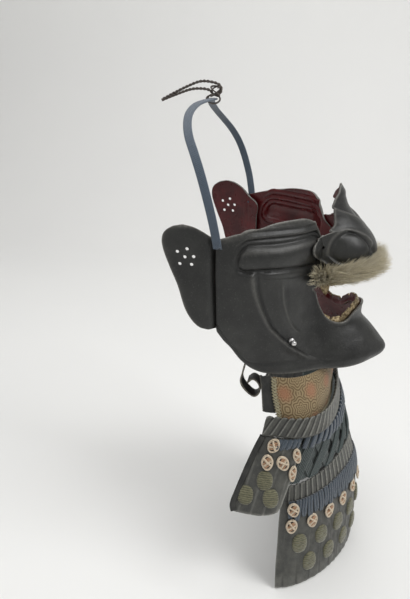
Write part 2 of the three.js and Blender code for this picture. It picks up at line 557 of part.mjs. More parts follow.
// ---------------------------------------------------------------- throat guard
// The plan of a horseshoe section, evenly spaced from the right end round the front to the left.
function horseshoe(section, count, from = 0, to = 1) {
  const fine = 120;
  const points = [];
  for (let i = 0; i <= fine; i += 1) {
    const a = (i / fine) * Math.PI;
    const power = 2 / section.square;
    const x = -section.half * Math.sign(Math.cos(a)) * Math.abs(Math.cos(a)) ** power;
    const y = section.side - (section.side - section.front) * Math.sin(a) ** power;
    points.push(new THREE.Vector2(x, y));
  }
  points.unshift(new THREE.Vector2(-section.half, section.end));
  points.push(new THREE.Vector2(section.half, section.end));
  const lengths = [0];
  for (let i = 1; i < points.length; i += 1) lengths.push(lengths[i - 1] + points[i].distanceTo(points[i - 1]));
  const total = lengths[lengths.length - 1];
  return Array.from({ length: count + 1 }, (_, k) => {
    const goal = total * (from + ((to - from) * k) / count);
    let i = 1;
    while (i < lengths.length - 1 && lengths[i] < goal) i += 1;
    const t = (goal - lengths[i - 1]) / (lengths[i] - lengths[i - 1] || 1);
    const p = points[i - 1].clone().lerp(points[i], clamp(t, 0, 1));
    const forward = clamp((section.side - p.y) / (section.side - section.front), 0, 1);
    return new THREE.Vector3(p.x, p.y, section.z + (section.rise ?? 0) * forward ** 2);
  });
}

// Any section between the rows of a table, by height.  The front of the front lame and of the
// lacing above it hangs higher than the sides; the rise fades out at the level ends.
function sectionAt(table, z) {
  const at = columnsOf(table, 'z');
  const [top, bottom] = [table[0].z, table[table.length - 1].z];
  const down = (top - z) / (top - bottom);
  let rise = 0;
  if (table === HANGING_SECTIONS) rise = HANGING_RISE * down ** 1.5;
  if (table === FRONT_SECTIONS) rise = FRONT_RISE * (1 - down) ** 1.5;
  return { z, rise, half: at.half(z), front: at.front(z), side: at.side(z), end: at.end(z), square: at.square(z) };
}

const outwardOf = (p) => new THREE.Vector3(p.x, p.y + 45, 0).normalize();

// A band of the throat guard between two heights; `lift` moves it out, `edge` shifts its top.
function band({ table, heights, columns, from = 0, to = 1, lift = 0, thickness, topEdge = () => 0, relief = () => 0 }) {
  const rows = heights.map((z, r) => horseshoe(sectionAt(table, z), columns, from, to).map((p, c) => {
    p.addScaledVector(outwardOf(p), lift + relief(r, c));
    if (r === 0) p.z += topEdge(c);
    return p;
  }));
  return plate(rows, thickness);
}

// A low pillow that stands on a lame: used for the knots and the bosses.
function pillow(centre, outward, { wide, tall, deep }, sink) {
  const shape = new THREE.SphereGeometry(1, 6, 3);
  shape.scale(wide / 2, tall / 2, deep);
  const solid = toSolid(shape).trimByPlane([0, 0, 1], sink);
  const geometry = fromSolid(solid);
  const up = new THREE.Vector3(0, 0, 1);
  const z = outward.clone().normalize();
  const x = up.clone().cross(z).normalize();
  const y = z.clone().cross(x);
  geometry.applyMatrix4(new THREE.Matrix4().makeBasis(x, y, z));
  return geometry.translate(centre.x, centre.y, centre.z);
}

// Where a knot sits on the front lame, and which way it faces.
function onFrontLame(fraction, z) {
  const here = horseshoe(sectionAt(FRONT_SECTIONS, z), 1, fraction, fraction + 0.001)[0];
  const next = horseshoe(sectionAt(FRONT_SECTIONS, z), 1, fraction + 0.01, fraction + 0.011)[0];
  const below = horseshoe(sectionAt(FRONT_SECTIONS, z - 4), 1, fraction, fraction + 0.001)[0];
  const outward = below.sub(here).cross(next.sub(here)).normalize();
  return { point: here, outward };
}

const sideAt = columnsOf(SIDE_SECTIONS, 'z');
function sidePoint(f, z) {
  const inFrom = f > 0.5 ? ((f - 0.5) / 0.5) ** 2 * sideAt.curl(z) : ((0.5 - f) / 0.5) ** 2 * 1.2;
  return new THREE.Vector3(-(sideAt.out(z) - inFrom), THREE.MathUtils.lerp(sideAt.rear(z), sideAt.front(z), f), z);
}
function onSideLame(f, z) {
  const here = sidePoint(f, z);
  const outward = sidePoint(f, z - 4).sub(here).cross(sidePoint(f + 0.02, z).sub(here)).normalize();
  return { point: here, outward };
}

function sideSheet(heights, columns, from, to, lift, thickness) {
  return plate(heights.map((z) => Array.from({ length: columns + 1 }, (_, i) => {
    const { point, outward } = onSideLame(from + ((to - from) * i) / columns, z);
    return point.addScaledVector(outward, lift);
  })), thickness);
}

const FRONT_BOSSES = [
  { z: -233, count: 9, from: 0.09 }, { z: -252, count: 8, from: 0.14 },
];
const FRONT_KNOTS = { z: -216, count: 11, from: 0.05 };
const END_KNOTS = { z: -201.5, from: 0.05 };
const SIDE_KNOTS = [{ f: 0.4, z: -145.4 }, { f: 0.38, z: -157.4 }, { f: 0.7, z: -157 }, { f: 0.97, z: -153 }, { f: 0.95, z: -166 }];
const SIDE_BOSSES = [{ f: 0.46, z: -169.5 }, { f: 0.2, z: -180.5 }, { f: 0.72, z: -181 }];

const spread = ({ count, from }) => Array.from({ length: count }, (_, i) => from + ((1 - 2 * from) * i) / (count - 1));

function frontLame() {
  const lame = band({
    table: FRONT_SECTIONS, heights: [-183, -195, -213, -232, -252, -269], columns: 24, thickness: LEATHER,
    topEdge: (c) => (c % 2 ? -1.4 : 0),
  });
  const bosses = FRONT_BOSSES.flatMap((row) => spread(row).map((f) => {
    const { point, outward } = onFrontLame(f, row.z);
    return pillow(point, outward, BOSS, -0.6);
  }));
  return join([lame, ...bosses]);
}

function rightSideLame() {
  const lame = sideSheet([-139.9, -150, -164, -180, -192.5], 5, 0, 1, 0, LEATHER);
  const bosses = SIDE_BOSSES.map(({ f, z }) => {
    const { point, outward } = onSideLame(f, z);
    return pillow(point, outward, BOSS, -0.6);
  });
  return join([lame, ...bosses]);
}

function rightEdging() {
  const upper = EDGING_SECTIONS.map(({ z, out, rear, front }) => [0, 0.5, 1].map((f) => (
    new THREE.Vector3(-out - 0.6 * Math.sin(Math.PI * f), THREE.MathUtils.lerp(rear, front, f), z))));
  return plate(upper, LEATHER);
}

function rightCurl() {
  const line = new THREE.CatmullRomCurve3(CURL_PATH.map(({ y, z }) => new THREE.Vector3(0, y, z)));
  const along = line.getSpacedPoints(18);
  const rows = along.map((p) => [0, 1].map((f) => new THREE.Vector3(-CURL.out + CURL.width * f, p.y, p.z)));
  return plate(rows, 1.2);
}

// ---------------------------------------------------------------- strap and wire tie
function strap() {
  const left = STRAP_ROUTE.slice(0, -1).reverse().map(([x, y, z]) => [-x, y, z]);
  const flat = [[-0.5, 0], [-0.42, -0.5], [0.42, -0.5], [0.5, 0], [0.42, 0.5], [-0.42, 0.5]].map(([u, v]) => [u * STRAP_WIDTH, v * STRAP_THICK]);
  return tube([...STRAP_ROUTE, ...left], 34, flat, strapOutward);
}

// Which way the strap's flat face looks: up and out over the head, and downwards inside the slot.
function strapOutward(p) {
  const tucked = 1 - smooth(Math.abs(p.x) * 0.6 + p.z, 41.5, 47);
  return new THREE.Vector3(p.x * (1 - 0.75 * tucked), 0, p.z * 0.9 + 60 * tucked);
}

function wireTie() {
  const [x, y, z] = TIE_RING.centre;
  const ring = Array.from({ length: 10 }, (_, k) => {
    const a = (k / 10) * 2 * Math.PI;
    return new THREE.Vector3(x, y - TIE_RING.wide * Math.cos(a), z + TIE_RING.tall * Math.sin(a));
  });
  const loop = new THREE.TubeGeometry(new THREE.CatmullRomCurve3(ring, true), 10, WIRE / 2, 4, true);
  const strands = TIE_STRANDS.map((route) => tube(route, 10, circle(WIRE * 0.7, 5), () => new THREE.Vector3(1, 0, 0)));
  return join([loop, ...strands]);
}

// ---------------------------------------------------------------- assembly
const finish = {
  iron: { color: 0x2b2b2d, roughness: 0.42, metalness: 0.55 },
  brass: { color: 0xb79a62, roughness: 0.4, metalness: 0.8 },
  steel: { color: 0xb9b9bb, roughness: 0.3, metalness: 0.9 },
  hair: { color: 0xb9ae93, roughness: 0.9, metalness: 0 },
  printedLeather: { color: 0xa08a5c, roughness: 0.75, metalness: 0 },
  blackLeather: { color: 0x2a2a28, roughness: 0.6, metalness: 0 },
  blueLacing: { color: 0x46515c, roughness: 0.85, metalness: 0 },
  paleBraid: { color: 0xd8c6a8, roughness: 0.85, metalness: 0 },
  strapBraid: { color: 0x5d7080, roughness: 0.85, metalness: 0 },
  blackWire: { color: 0x2c2725, roughness: 0.55, metalness: 0.2 },
};

const guard = new THREE.Group();

function add(name, geometry, look) {
  geometry.computeVertexNormals();
  const mesh = new THREE.Mesh(geometry, new THREE.MeshStandardMaterial(finish[look]));
  mesh.name = name;
  guard.add(mesh);
}

function addPair(name, geometry, look) {
  add(`${name}_right`, geometry, look);
  add(`${name}_left`, mirrored(geometry), look);
}

add('mask_plate', maskPlate(), 'iron');
add('nose_piece', nosePieceWithHoles(), 'iron');
addPair('ear_plate', rightEarPlate(), 'iron');
addPair('jaw_stud', rightJawStud(), 'steel');
add('lower_teeth', lowerTeeth(), 'brass');
add('upper_teeth', upperTeeth(), 'brass');
add('moustache', moustache(), 'hair');

add('throat_panel', band({ table: PANEL_SECTIONS, heights: [-99.6, -110, -120, -130], columns: 18, thickness: PANEL }), 'printedLeather');
add('upper_lame', band({
  table: LAME_SECTIONS, heights: [-124.5, -130, -139], columns: 32, thickness: LEATHER, topEdge: (c) => (c % 2 ? -1.3 : 0),
}), 'blackLeather');
add('hanging_lacing', band({ table: HANGING_SECTIONS, heights: [-139.5, -152, -168, -182.6], columns: 18, from: 0.05, to: 0.95, thickness: BRAID }), 'blueLacing');
add('front_lame', frontLame(), 'blackLeather');
add('front_lacing', band({ table: FRONT_SECTIONS, heights: [-196, -208], columns: 24, from: 0.02, to: 0.98, lift: KNOT_GAP + BRAID, thickness: BRAID }), 'blueLacing');
addPair('side_lame', rightSideLame(), 'blackLeather');
addPair('side_lacing', sideSheet([-140.4, -146.4], 4, 0.66, 0.98, GAP + BRAID, BRAID), 'blueLacing');
addPair('edging', rightEdging(), 'blackLeather');
add('edging_curl', rightCurl(), 'blackLeather');

spread(FRONT_KNOTS).forEach((f, i) => {
  const { point, outward } = onFrontLame(f, FRONT_KNOTS.z);
  const seat = point.clone().addScaledVector(outward, KNOT_GAP);
  add(`front_knot_${i + 1}`, pillow(seat, outward, KNOT, 0), 'paleBraid');
});
[END_KNOTS.from, 1 - END_KNOTS.from].forEach((f, i) => {
  const { point, outward } = onFrontLame(f, END_KNOTS.z);
  add(`end_knot_${i + 1}`, pillow(point.clone().addScaledVector(outward, 2 * KNOT_GAP + BRAID), outward, KNOT, 0), 'paleBraid');
});
SIDE_KNOTS.forEach(({ f, z }, i) => {
  const { point, outward } = onSideLame(f, z);
  addPair(`side_knot_${i + 1}`, pillow(point.clone().addScaledVector(outward, KNOT_GAP), outward, KNOT, 0), 'paleBraid');
});

add('strap', strap(), 'strapBraid');
add('wire_tie', wireTie(), 'blackWire');

export default guard;
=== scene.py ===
# The look of the samurai face guard: fine shells, hair, lacing and materials over the CAD frame.
import math
import bpy
import numpy as np
from mathutils import Matrix, Vector


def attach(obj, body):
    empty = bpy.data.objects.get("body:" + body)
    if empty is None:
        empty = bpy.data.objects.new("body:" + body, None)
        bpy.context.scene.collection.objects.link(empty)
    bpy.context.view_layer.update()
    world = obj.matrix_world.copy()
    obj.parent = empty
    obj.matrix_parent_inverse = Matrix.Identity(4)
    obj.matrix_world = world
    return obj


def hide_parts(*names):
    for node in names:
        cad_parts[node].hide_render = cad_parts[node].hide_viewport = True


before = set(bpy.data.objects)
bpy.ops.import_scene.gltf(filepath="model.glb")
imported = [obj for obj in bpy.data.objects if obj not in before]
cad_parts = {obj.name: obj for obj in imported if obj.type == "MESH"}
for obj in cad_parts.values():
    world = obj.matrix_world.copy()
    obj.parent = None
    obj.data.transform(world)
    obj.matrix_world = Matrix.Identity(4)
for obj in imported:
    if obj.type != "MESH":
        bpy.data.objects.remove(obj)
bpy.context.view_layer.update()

MM = 0.001
AXIS_Y = -20.0          # upright axis that the mask's shape is measured from, mm
rng = np.random.default_rng(7)


# ------------------------------------------------------------------ camera
def make_camera():
    turn, down = math.radians(12.4), math.radians(21.6)
    look = Vector((math.cos(turn) * math.cos(down), math.sin(turn) * math.cos(down), -math.sin(down)))
    right = Vector((math.sin(turn), -math.cos(turn), 0.0))
    up = right.cross(look)
    camera = bpy.data.objects.new("camera", bpy.data.cameras.new("camera"))
    camera.data.sensor_width = 36.0
    camera.data.lens = 600.0 * 36.0 / 599.0
    place = Matrix((right, up, -look)).transposed().to_4x4()
    place.translation = Vector((-0.430, -0.07015, 0.10756))
    camera.matrix_world = place
    bpy.context.scene.collection.objects.link(camera)
    bpy.context.scene.camera = camera


make_camera()


# ------------------------------------------------------------------ numbers and curves
def smooth(x, low, high):
    t = np.clip((x - low) / (high - low), 0, 1)
    return t * t * (3 - 2 * t)


def hill(x, width):
    return np.exp(-(np.asarray(x) / width) ** 2)


def through(xs, ys, x):
    """A smooth curve through knots; ys may hold one value per knot or one row per knot."""
    xs, ys, x = np.asarray(xs, float), np.asarray(ys, float), np.asarray(x, float)
    if xs[0] > xs[-1]:
        xs, ys = xs[::-1], ys[::-1]
    shape, x = x.shape, np.clip(x.ravel(), xs[0], xs[-1])
    last = len(xs) - 1
    i = np.clip(np.searchsorted(xs, x) - 1, 0, last - 1)
    before, after = np.maximum(np.arange(last + 1) - 1, 0), np.minimum(np.arange(last + 1) + 1, last)
    run = xs[after] - xs[before]
    slope = (ys[after] - ys[before]) / (run if ys.ndim == 1 else run[:, None])
    pick = (lambda a, k: a[k]) if ys.ndim == 1 else (lambda a, k: a[k, np.arange(len(x))])
    span = xs[i + 1] - xs[i]
    t = (x - xs[i]) / span
    out = ((2 * t**3 - 3 * t**2 + 1) * pick(ys, i) + (t**3 - 2 * t**2 + t) * span * pick(slope, i)
           + (3 * t**2 - 2 * t**3) * pick(ys, i + 1) + (t**3 - t**2) * span * pick(slope, i + 1))
    return out.reshape(shape)


class Table:
    """Named columns over a first column; table.name(x) is a smooth curve."""
    def __init__(self, names, rows):
        data = np.array(rows, float)
        self.keys, self.columns = data[:, 0], dict(zip(names.split()[1:], data[:, 1:].T))

    def __getattr__(self, name):
        return lambda x: through(self.keys, self.columns[name], x)


# ------------------------------------------------------------------ meshes
def piece(name, verts, faces, materials, face_materials=None, uv=None, wear=None, painted_shade=None, replaces=()):
    mesh = bpy.data.meshes.new(name)
    mesh.from_pydata(np.asarray(verts) * MM, [], faces)
    mesh.validate()
    for m in materials:
        mesh.materials.append(m)
    if face_materials is not None and len(face_materials) == len(mesh.polygons):
        mesh.polygons.foreach_set("material_index", np.asarray(face_materials, np.int32))
    mesh.polygons.foreach_set("use_smooth", [True] * len(mesh.polygons))
    if uv is not None:
        loops = np.empty(len(mesh.loops), np.int32)
        mesh.loops.foreach_get("vertex_index", loops)
        mesh.uv_layers.new(name="cloth").data.foreach_set("uv", np.asarray(uv, np.float32)[loops].ravel())
    # Wear and painted shade (darkening for creases and gaps) are stored as point attributes for the materials.
    for label, values in (("wear", wear), ("painted_shade", painted_shade)):
        if values is not None:
            mesh.attributes.new(label, "FLOAT", "POINT").data.foreach_set("value", np.asarray(values, np.float32))
    obj = bpy.data.objects.new(name, mesh)
    bpy.context.scene.collection.objects.link(obj)
    if replaces:
        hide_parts(*replaces)
    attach(obj, "root")
    return obj


def grid_normals(points):
    down, along = np.gradient(points, axis=0), np.gradient(points, axis=1)
    n = np.cross(down, along)
    return n / (np.linalg.norm(n, axis=2, keepdims=True) + 1e-12)


def shell(name, points, thickness, materials, weld=None, skip=None, uv=None, wear=None, painted_shade=None, normals=None, replaces=()):
    """A plate from a grid of points on its outer face (rows run down, columns run towards +X)."""
    rows, cols = points.shape[:2]
    normals = grid_normals(points) if normals is None else normals
    index = np.arange(rows * cols).reshape(rows, cols)
    if weld is not None:
        index = weld(index)
    count = rows * cols
    skip = np.zeros((rows - 1, cols - 1), bool) if skip is None else skip
    faces, mats, edges = [], [], set()
    for r in range(rows - 1):
        for c in range(cols - 1):
            if skip[r, c]:
                continue
            quad = [index[r, c], index[r + 1, c], index[r + 1, c + 1], index[r, c + 1]]
            quad = [int(v) for k, v in enumerate(quad) if v != quad[k - 1]]
            if len(quad) < 3:
                continue
            faces.append(quad)
            mats.append(0)
            faces.append([v + count for v in reversed(quad)])
            mats.append(1)
            edges.update(zip(quad, quad[1:] + quad[:1]))
    for a, b in sorted(edges):
        if (b, a) not in edges:
            faces.append([b, a, a + count, b + count])
            mats.append(0)
    flat = points.reshape(-1, 3)
    verts = np.concatenate([flat, flat - normals.reshape(-1, 3) * thickness])
    twice = (lambda a: None if a is None else np.concatenate([a.reshape(count, -1)] * 2))
    wear = None if wear is None else np.tile(wear.ravel(), 2)
    painted_shade = None if painted_shade is None else np.tile(painted_shade.ravel(), 2)
    used = np.unique(np.concatenate([np.asarray(f) for f in faces]))
    remap = np.full(2 * count, -1)
    remap[used] = np.arange(len(used))
    faces = [[int(remap[v]) for v in f] for f in faces]
    uv = twice(uv)
    return piece(name, verts[used], faces, materials, mats, None if uv is None else uv[used],
                 None if wear is None else wear[used], None if painted_shade is None else painted_shade[used], replaces)


def tube(path, radius, sides=8, twist=0.0, closed=False, flat=None, outward=None):
    """Vertices, faces and (along, across) of a tube; flat=(width, thickness) makes a band."""
    path = np.asarray(path, float)
    n = len(path)
    tangent = np.gradient(path, axis=0)
    if closed:
        tangent = np.roll(path, -1, 0) - np.roll(path, 1, 0)
    tangent /= np.linalg.norm(tangent, axis=1, keepdims=True)
    guide = outward if outward is not None else np.tile([0.3, 0.2, 0.93], (n, 1))
    out = guide - tangent * (guide * tangent).sum(1, keepdims=True)
    out /= np.linalg.norm(out, axis=1, keepdims=True)
    across = np.cross(tangent, out)
    a = np.arange(sides) * 2 * np.pi / sides
    radius = np.broadcast_to(radius, n)
    if flat is None:
        u, v = np.outer(radius, np.cos(a)), np.outer(radius, np.sin(a))
    else:
        power = 0.45
        u = np.outer(np.broadcast_to(flat[0], n) / 2, np.sign(np.cos(a)) * abs(np.cos(a)) ** power)
        v = np.outer(np.broadcast_to(flat[1], n) / 2, np.sign(np.sin(a)) * abs(np.sin(a)) ** power)
    verts = (path[:, None] + across[:, None] * u[..., None] + out[:, None] * v[..., None]).reshape(-1, 3)
    steps = np.concatenate([[0], np.cumsum(np.linalg.norm(np.diff(path, axis=0), axis=1))])
    uv = np.stack([np.repeat(steps, sides), u.ravel()], 1)
    faces = []
    for i in range(n if closed else n - 1):
        j = (i + 1) % n
        for k in range(sides):
            m = (k + 1) % sides
            faces.append([i * sides + k, j * sides + k, j * sides + m, i * sides + m][::-1])
    if not closed:
        faces.append(list(range(sides)))
        faces.append([(n - 1) * sides + k for k in reversed(range(sides))])
    return verts, faces, uv


def catmull(points, count, closed=False):
    """Evenly spaced points on a smooth route."""
    p = np.asarray(points, float)
    ext = np.concatenate([p[-1:], p, p[:2]]) if closed else np.concatenate([[2 * p[0] - p[1]], p, [2 * p[-1] - p[-2]]])
    segments = len(ext) - 3
    fine = []
    for i in range(segments):
        a, b, c, d = ext[i:i + 4]
        t = np.linspace(0, 1, 24, endpoint=False)[:, None]
        fine.append(0.5 * (2 * b + (c - a) * t + (2 * a - 5 * b + 4 * c - d) * t**2 + (3 * b - a - 3 * c + d) * t**3))
    fine.append(ext[-2][None])
    fine = np.concatenate(fine)
    run = np.concatenate([[0], np.cumsum(np.linalg.norm(np.diff(fine, axis=0), axis=1))])
    goal = np.linspace(0, run[-1], count, endpoint=not closed)
    return np.stack([np.interp(goal, run, fine[:, k]) for k in range(3)], 1)


def merge(parts):
    verts, faces, uvs, base = [], [], [], 0
    for v, f, uv in parts:
        verts.append(v)
        uvs.append(uv)
        faces += [[i + base for i in face] for face in f]
        base += len(v)
    return np.concatenate(verts), faces, np.concatenate(uvs)


# ------------------------------------------------------------------ materials
class Look:
    """A small helper that builds one node material."""
    def __init__(self, name, rough=0.5, metal=0.0, specular=0.5, sheen=0.0, coat=0.0, coat_rough=0.2):
        self.material = bpy.data.materials.new(name)
        self.material.use_nodes = True
        self.tree = self.material.node_tree
        self.shader = self.tree.nodes["Principled BSDF"]
        for socket, value in (("Roughness", rough), ("Metallic", metal), ("Specular IOR Level", specular),
                              ("Sheen Weight", sheen), ("Coat Weight", coat), ("Coat Roughness", coat_rough)):
            self.shader.inputs[socket].default_value = value
        self.place = self.node("ShaderNodeTexCoord").outputs["Object"]
        self.height = None

    def node(self, kind, links=(), **settings):
        node = self.tree.nodes.new(kind)
        for key, value in settings.items():
            setattr(node, key, value)
        for socket, value in links:
            if hasattr(value, "is_output"):
                self.tree.links.new(value, node.inputs[socket])
            else:
                node.inputs[socket].default_value = value
        return node

    def noise(self, scale, detail=3.0, rough=0.55, vector=None, distortion=0.0):
        return self.node("ShaderNodeTexNoise", (("Vector", vector or self.place), ("Scale", scale), ("Detail", detail),
                                                ("Roughness", rough), ("Distortion", distortion))).outputs["Fac"]

    def cells(self, scale, feature="F1", vector=None, out="Distance", randomness=1.0):
        return self.node("ShaderNodeTexVoronoi", (("Vector", vector or self.place), ("Scale", scale), ("Randomness", randomness)),
                         feature=feature).outputs[out]

    def math(self, op, a, b=0.5, c=None, clamp=False):
        links = [(0, a), (1, b)] + ([(2, c)] if c is not None else [])
        return self.node("ShaderNodeMath", links, operation=op, use_clamp=clamp).outputs[0]

    def mix(self, factor, a, b):
        fix = (lambda v: v if hasattr(v, "is_output") else (*v, 1.0))
        node = self.node("ShaderNodeMix", (), data_type="RGBA")
        for socket, value in ((0, factor), (6, fix(a)), (7, fix(b))):
            if hasattr(value, "is_output"):
                self.tree.links.new(value, node.inputs[socket])
            else:
                node.inputs[socket].default_value = value
        return node.outputs[2]

    def steps(self, factor, *stops):
        node = self.node("ShaderNodeValToRGB", (("Fac", factor),))
        ramp = node.color_ramp
        while len(ramp.elements) < len(stops):
            ramp.elements.new(0.5)
        for element, (at, value) in zip(ramp.elements, stops):
            element.position = at
            element.color = (value, value, value, 1) if isinstance(value, (int, float)) else (*value, 1)
        return node.outputs["Color"]

    def attribute(self, name):
        return self.node("ShaderNodeAttribute", (), attribute_name=name).outputs["Fac"]

    def uv(self, *scale):
        """Cloth coordinates in mm (along, across) as x and y values."""
        uv = self.node("ShaderNodeUVMap", (), uv_map="cloth").outputs["UV"]
        split = self.node("ShaderNodeSeparateXYZ", (("Vector", uv),))
        return split.outputs["X"], split.outputs["Y"]

    def vector(self, x, y, z=0.0):
        return self.node("ShaderNodeCombineXYZ", (("X", x), ("Y", y), ("Z", z))).outputs[0]

    def wave(self, value, period):
        """0 to 1 and back along a value, once in each period."""
        return self.math("MULTIPLY_ADD", self.math("COSINE", self.math("MULTIPLY", value, 2 * math.pi / period)), -0.5, 0.5)

    def add_height(self, socket, distance):
        """A bump layer, its height in metres."""
        links = [("Height", socket), ("Distance", distance), ("Strength", 1.0)]
        if self.height is not None:
            links.append(("Normal", self.height))
        self.height = self.node("ShaderNodeBump", links).outputs["Normal"]

    def done(self, colour, rough=None):
        self.tree.links.new(colour, self.shader.inputs["Base Color"])
        if rough is not None:
            self.tree.links.new(rough, self.shader.inputs["Roughness"])
        if self.height is not None:
            self.tree.links.new(self.height, self.shader.inputs["Normal"])
        return self.material


def iron_look(name, worn=True):
    look = Look(name, metal=0.0, specular=0.42)
    blotch = look.noise(45, 5, 0.6)
    speck = look.noise(900, 3, 0.7)
    colour = look.mix(look.steps(blotch, (0.35, 0.0), (0.7, 1.0)), (0.0100, 0.0102, 0.0098), (0.023, 0.0235, 0.0215))
    colour = look.mix(look.steps(speck, (0.60, 0.0), (0.74, 0.5)), colour, (0.10, 0.10, 0.09))
    colour = look.mix(look.steps(look.cells(260), (0.0, 0.6), (0.11, 0.0)), colour, (0.006, 0.006, 0.006))
    if worn:
        edge = look.math("MULTIPLY", look.attribute("wear"), look.steps(look.noise(500, 4, 0.7), (0.3, 0.35), (0.65, 1.0)))
        colour = look.mix(edge, colour, (0.17, 0.165, 0.15))
    # Painted shade: near-black mixed in along the creases, grooves and pits that the point attribute marks.
    colour = look.mix(look.attribute("painted_shade"), colour, (0.003, 0.003, 0.003))
    look.add_height(look.noise(1300, 4, 0.7), 0.00012)
    look.add_height(look.noise(160, 3, 0.5), 0.0004)
    rough = look.steps(look.noise(120, 4, 0.6), (0.3, 0.30), (0.7, 0.48))
    return look.done(colour, rough)


def lacquer_look():
    look = Look("red_lacquer", coat=0.1, coat_rough=0.2, specular=0.35)
    colour = look.mix(look.steps(look.noise(60, 4), (0.35, 0.0), (0.7, 1.0)), (0.045, 0.0035, 0.0045), (0.10, 0.008, 0.009))
    look.add_height(look.noise(90, 3), 0.0006)
    return look.done(colour, look.steps(look.noise(200, 3), (0.3, 0.24), (0.7, 0.4)))


def brass_look():
    look = Look("aged_brass", metal=0.75)
    colour = look.mix(look.steps(look.noise(500, 4), (0.4, 0.0), (0.62, 1.0)), (0.10, 0.07, 0.035), (0.34, 0.27, 0.16))
    look.add_height(look.noise(1500, 3), 0.0001)
    return look.done(colour, look.steps(look.noise(300, 3), (0.3, 0.3), (0.7, 0.55)))


def steel_look():
    look = Look("pin_steel", metal=0.9)
    colour = look.mix(look.noise(800, 3), (0.45, 0.45, 0.46), (0.75, 0.74, 0.72))
    return look.done(colour, look.steps(look.noise(600, 2), (0.3, 0.25), (0.7, 0.45)))


def hair_look():
    look = Look("hair_strands", rough=0.55, sheen=0.3, specular=0.35)
    along, shade = look.uv()
    colour = look.mix(shade, (0.36, 0.30, 0.18), (0.82, 0.76, 0.56))
    colour = look.mix(look.steps(along, (0.0, 0.75), (0.5, 0.0)), colour, (0.13, 0.105, 0.065))
    return look.done(colour)


def cord_look(name, dark, light, period=0.9, slant=1.0):
    """Silk braid: fine slanted plaits along the cord."""
    look = Look(name, rough=0.7, sheen=0.35, specular=0.3)
    along, across = look.uv()
    plait = look.wave(look.math("ADD", along, look.math("MULTIPLY", across, slant)), period)
    other = look.wave(look.math("SUBTRACT", along, look.math("MULTIPLY", across, slant)), period)
    weave = look.math("MAXIMUM", plait, other)
    tone = look.math("ADD", look.math("MULTIPLY", weave, 0.55), look.math("MULTIPLY", look.noise(700, 3), 0.45), clamp=True)
    look.add_height(weave, 0.00022)
    look.add_height(look.noise(2600, 2), 0.00006)
    return look.done(look.mix(look.steps(tone, (0.2, 0.0), (0.85, 1.0)), dark, light))


def lame_look():
    """Black lacquered leather with a worn, greyish satin surface and an olive tinge."""
    look = Look("lacquered_leather", specular=0.5, coat=0.15, coat_rough=0.35)
    blotch = look.noise(120, 5, 0.6)
    colour = look.mix(look.steps(blotch, (0.35, 0.0), (0.68, 1.0)), (0.030, 0.031, 0.028), (0.068, 0.068, 0.058))
    colour = look.mix(look.steps(look.noise(1100, 4, 0.7), (0.58, 0.0), (0.72, 0.6)), colour, (0.14, 0.135, 0.105))
    edge = look.math("MULTIPLY", look.attribute("wear"), look.steps(look.noise(600, 4, 0.7), (0.3, 0.45), (0.6, 1.0)))
    colour = look.mix(edge, colour, (0.30, 0.30, 0.27))
    # Painted shade: near-black mixed in the gaps between the scale heads and in the grooves near the bottom edge.
    colour = look.mix(look.attribute("painted_shade"), colour, (0.004, 0.004, 0.004))
    look.add_height(look.noise(1400, 4, 0.7), 0.00016)
    return look.done(colour, look.steps(look.noise(250, 4), (0.3, 0.4), (0.7, 0.62)))


def leather_look():
    look = Look("black_leather", rough=0.6, specular=0.4)
    colour = look.mix(look.steps(look.noise(150, 5), (0.35, 0.0), (0.7, 1.0)), (0.014, 0.0145, 0.014), (0.038, 0.038, 0.034))
    edge = look.math("MULTIPLY", look.attribute("wear"), look.steps(look.noise(500, 4), (0.35, 0.2), (0.6, 1.0)))
    colour = look.mix(edge, colour, (0.22, 0.20, 0.16))
    look.add_height(look.cells(1100), 0.00012)
    return look.done(colour, look.steps(look.noise(300, 3), (0.3, 0.45), (0.7, 0.7)))


def boss_look():
    """Flat olive silk wound into a knot: fine ribs round its middle."""
    look = Look("olive_silk", rough=0.6, sheen=0.35, specular=0.35)
    along, across = look.uv()
    ribs = look.wave(look.math("ADD", along, look.math("MULTIPLY", look.noise(260, 2), 1.5)), 1.5)
    tone = look.math("ADD", look.math("MULTIPLY", ribs, 0.25), look.math("MULTIPLY", look.noise(420, 5, 0.75), 0.75), clamp=True)
    look.add_height(ribs, 0.00018)
    look.add_height(look.noise(1500, 3), 0.0001)
    return look.done(look.mix(look.steps(tone, (0.3, 0.0), (0.8, 1.0)), (0.05, 0.05, 0.028), (0.20, 0.19, 0.11)))


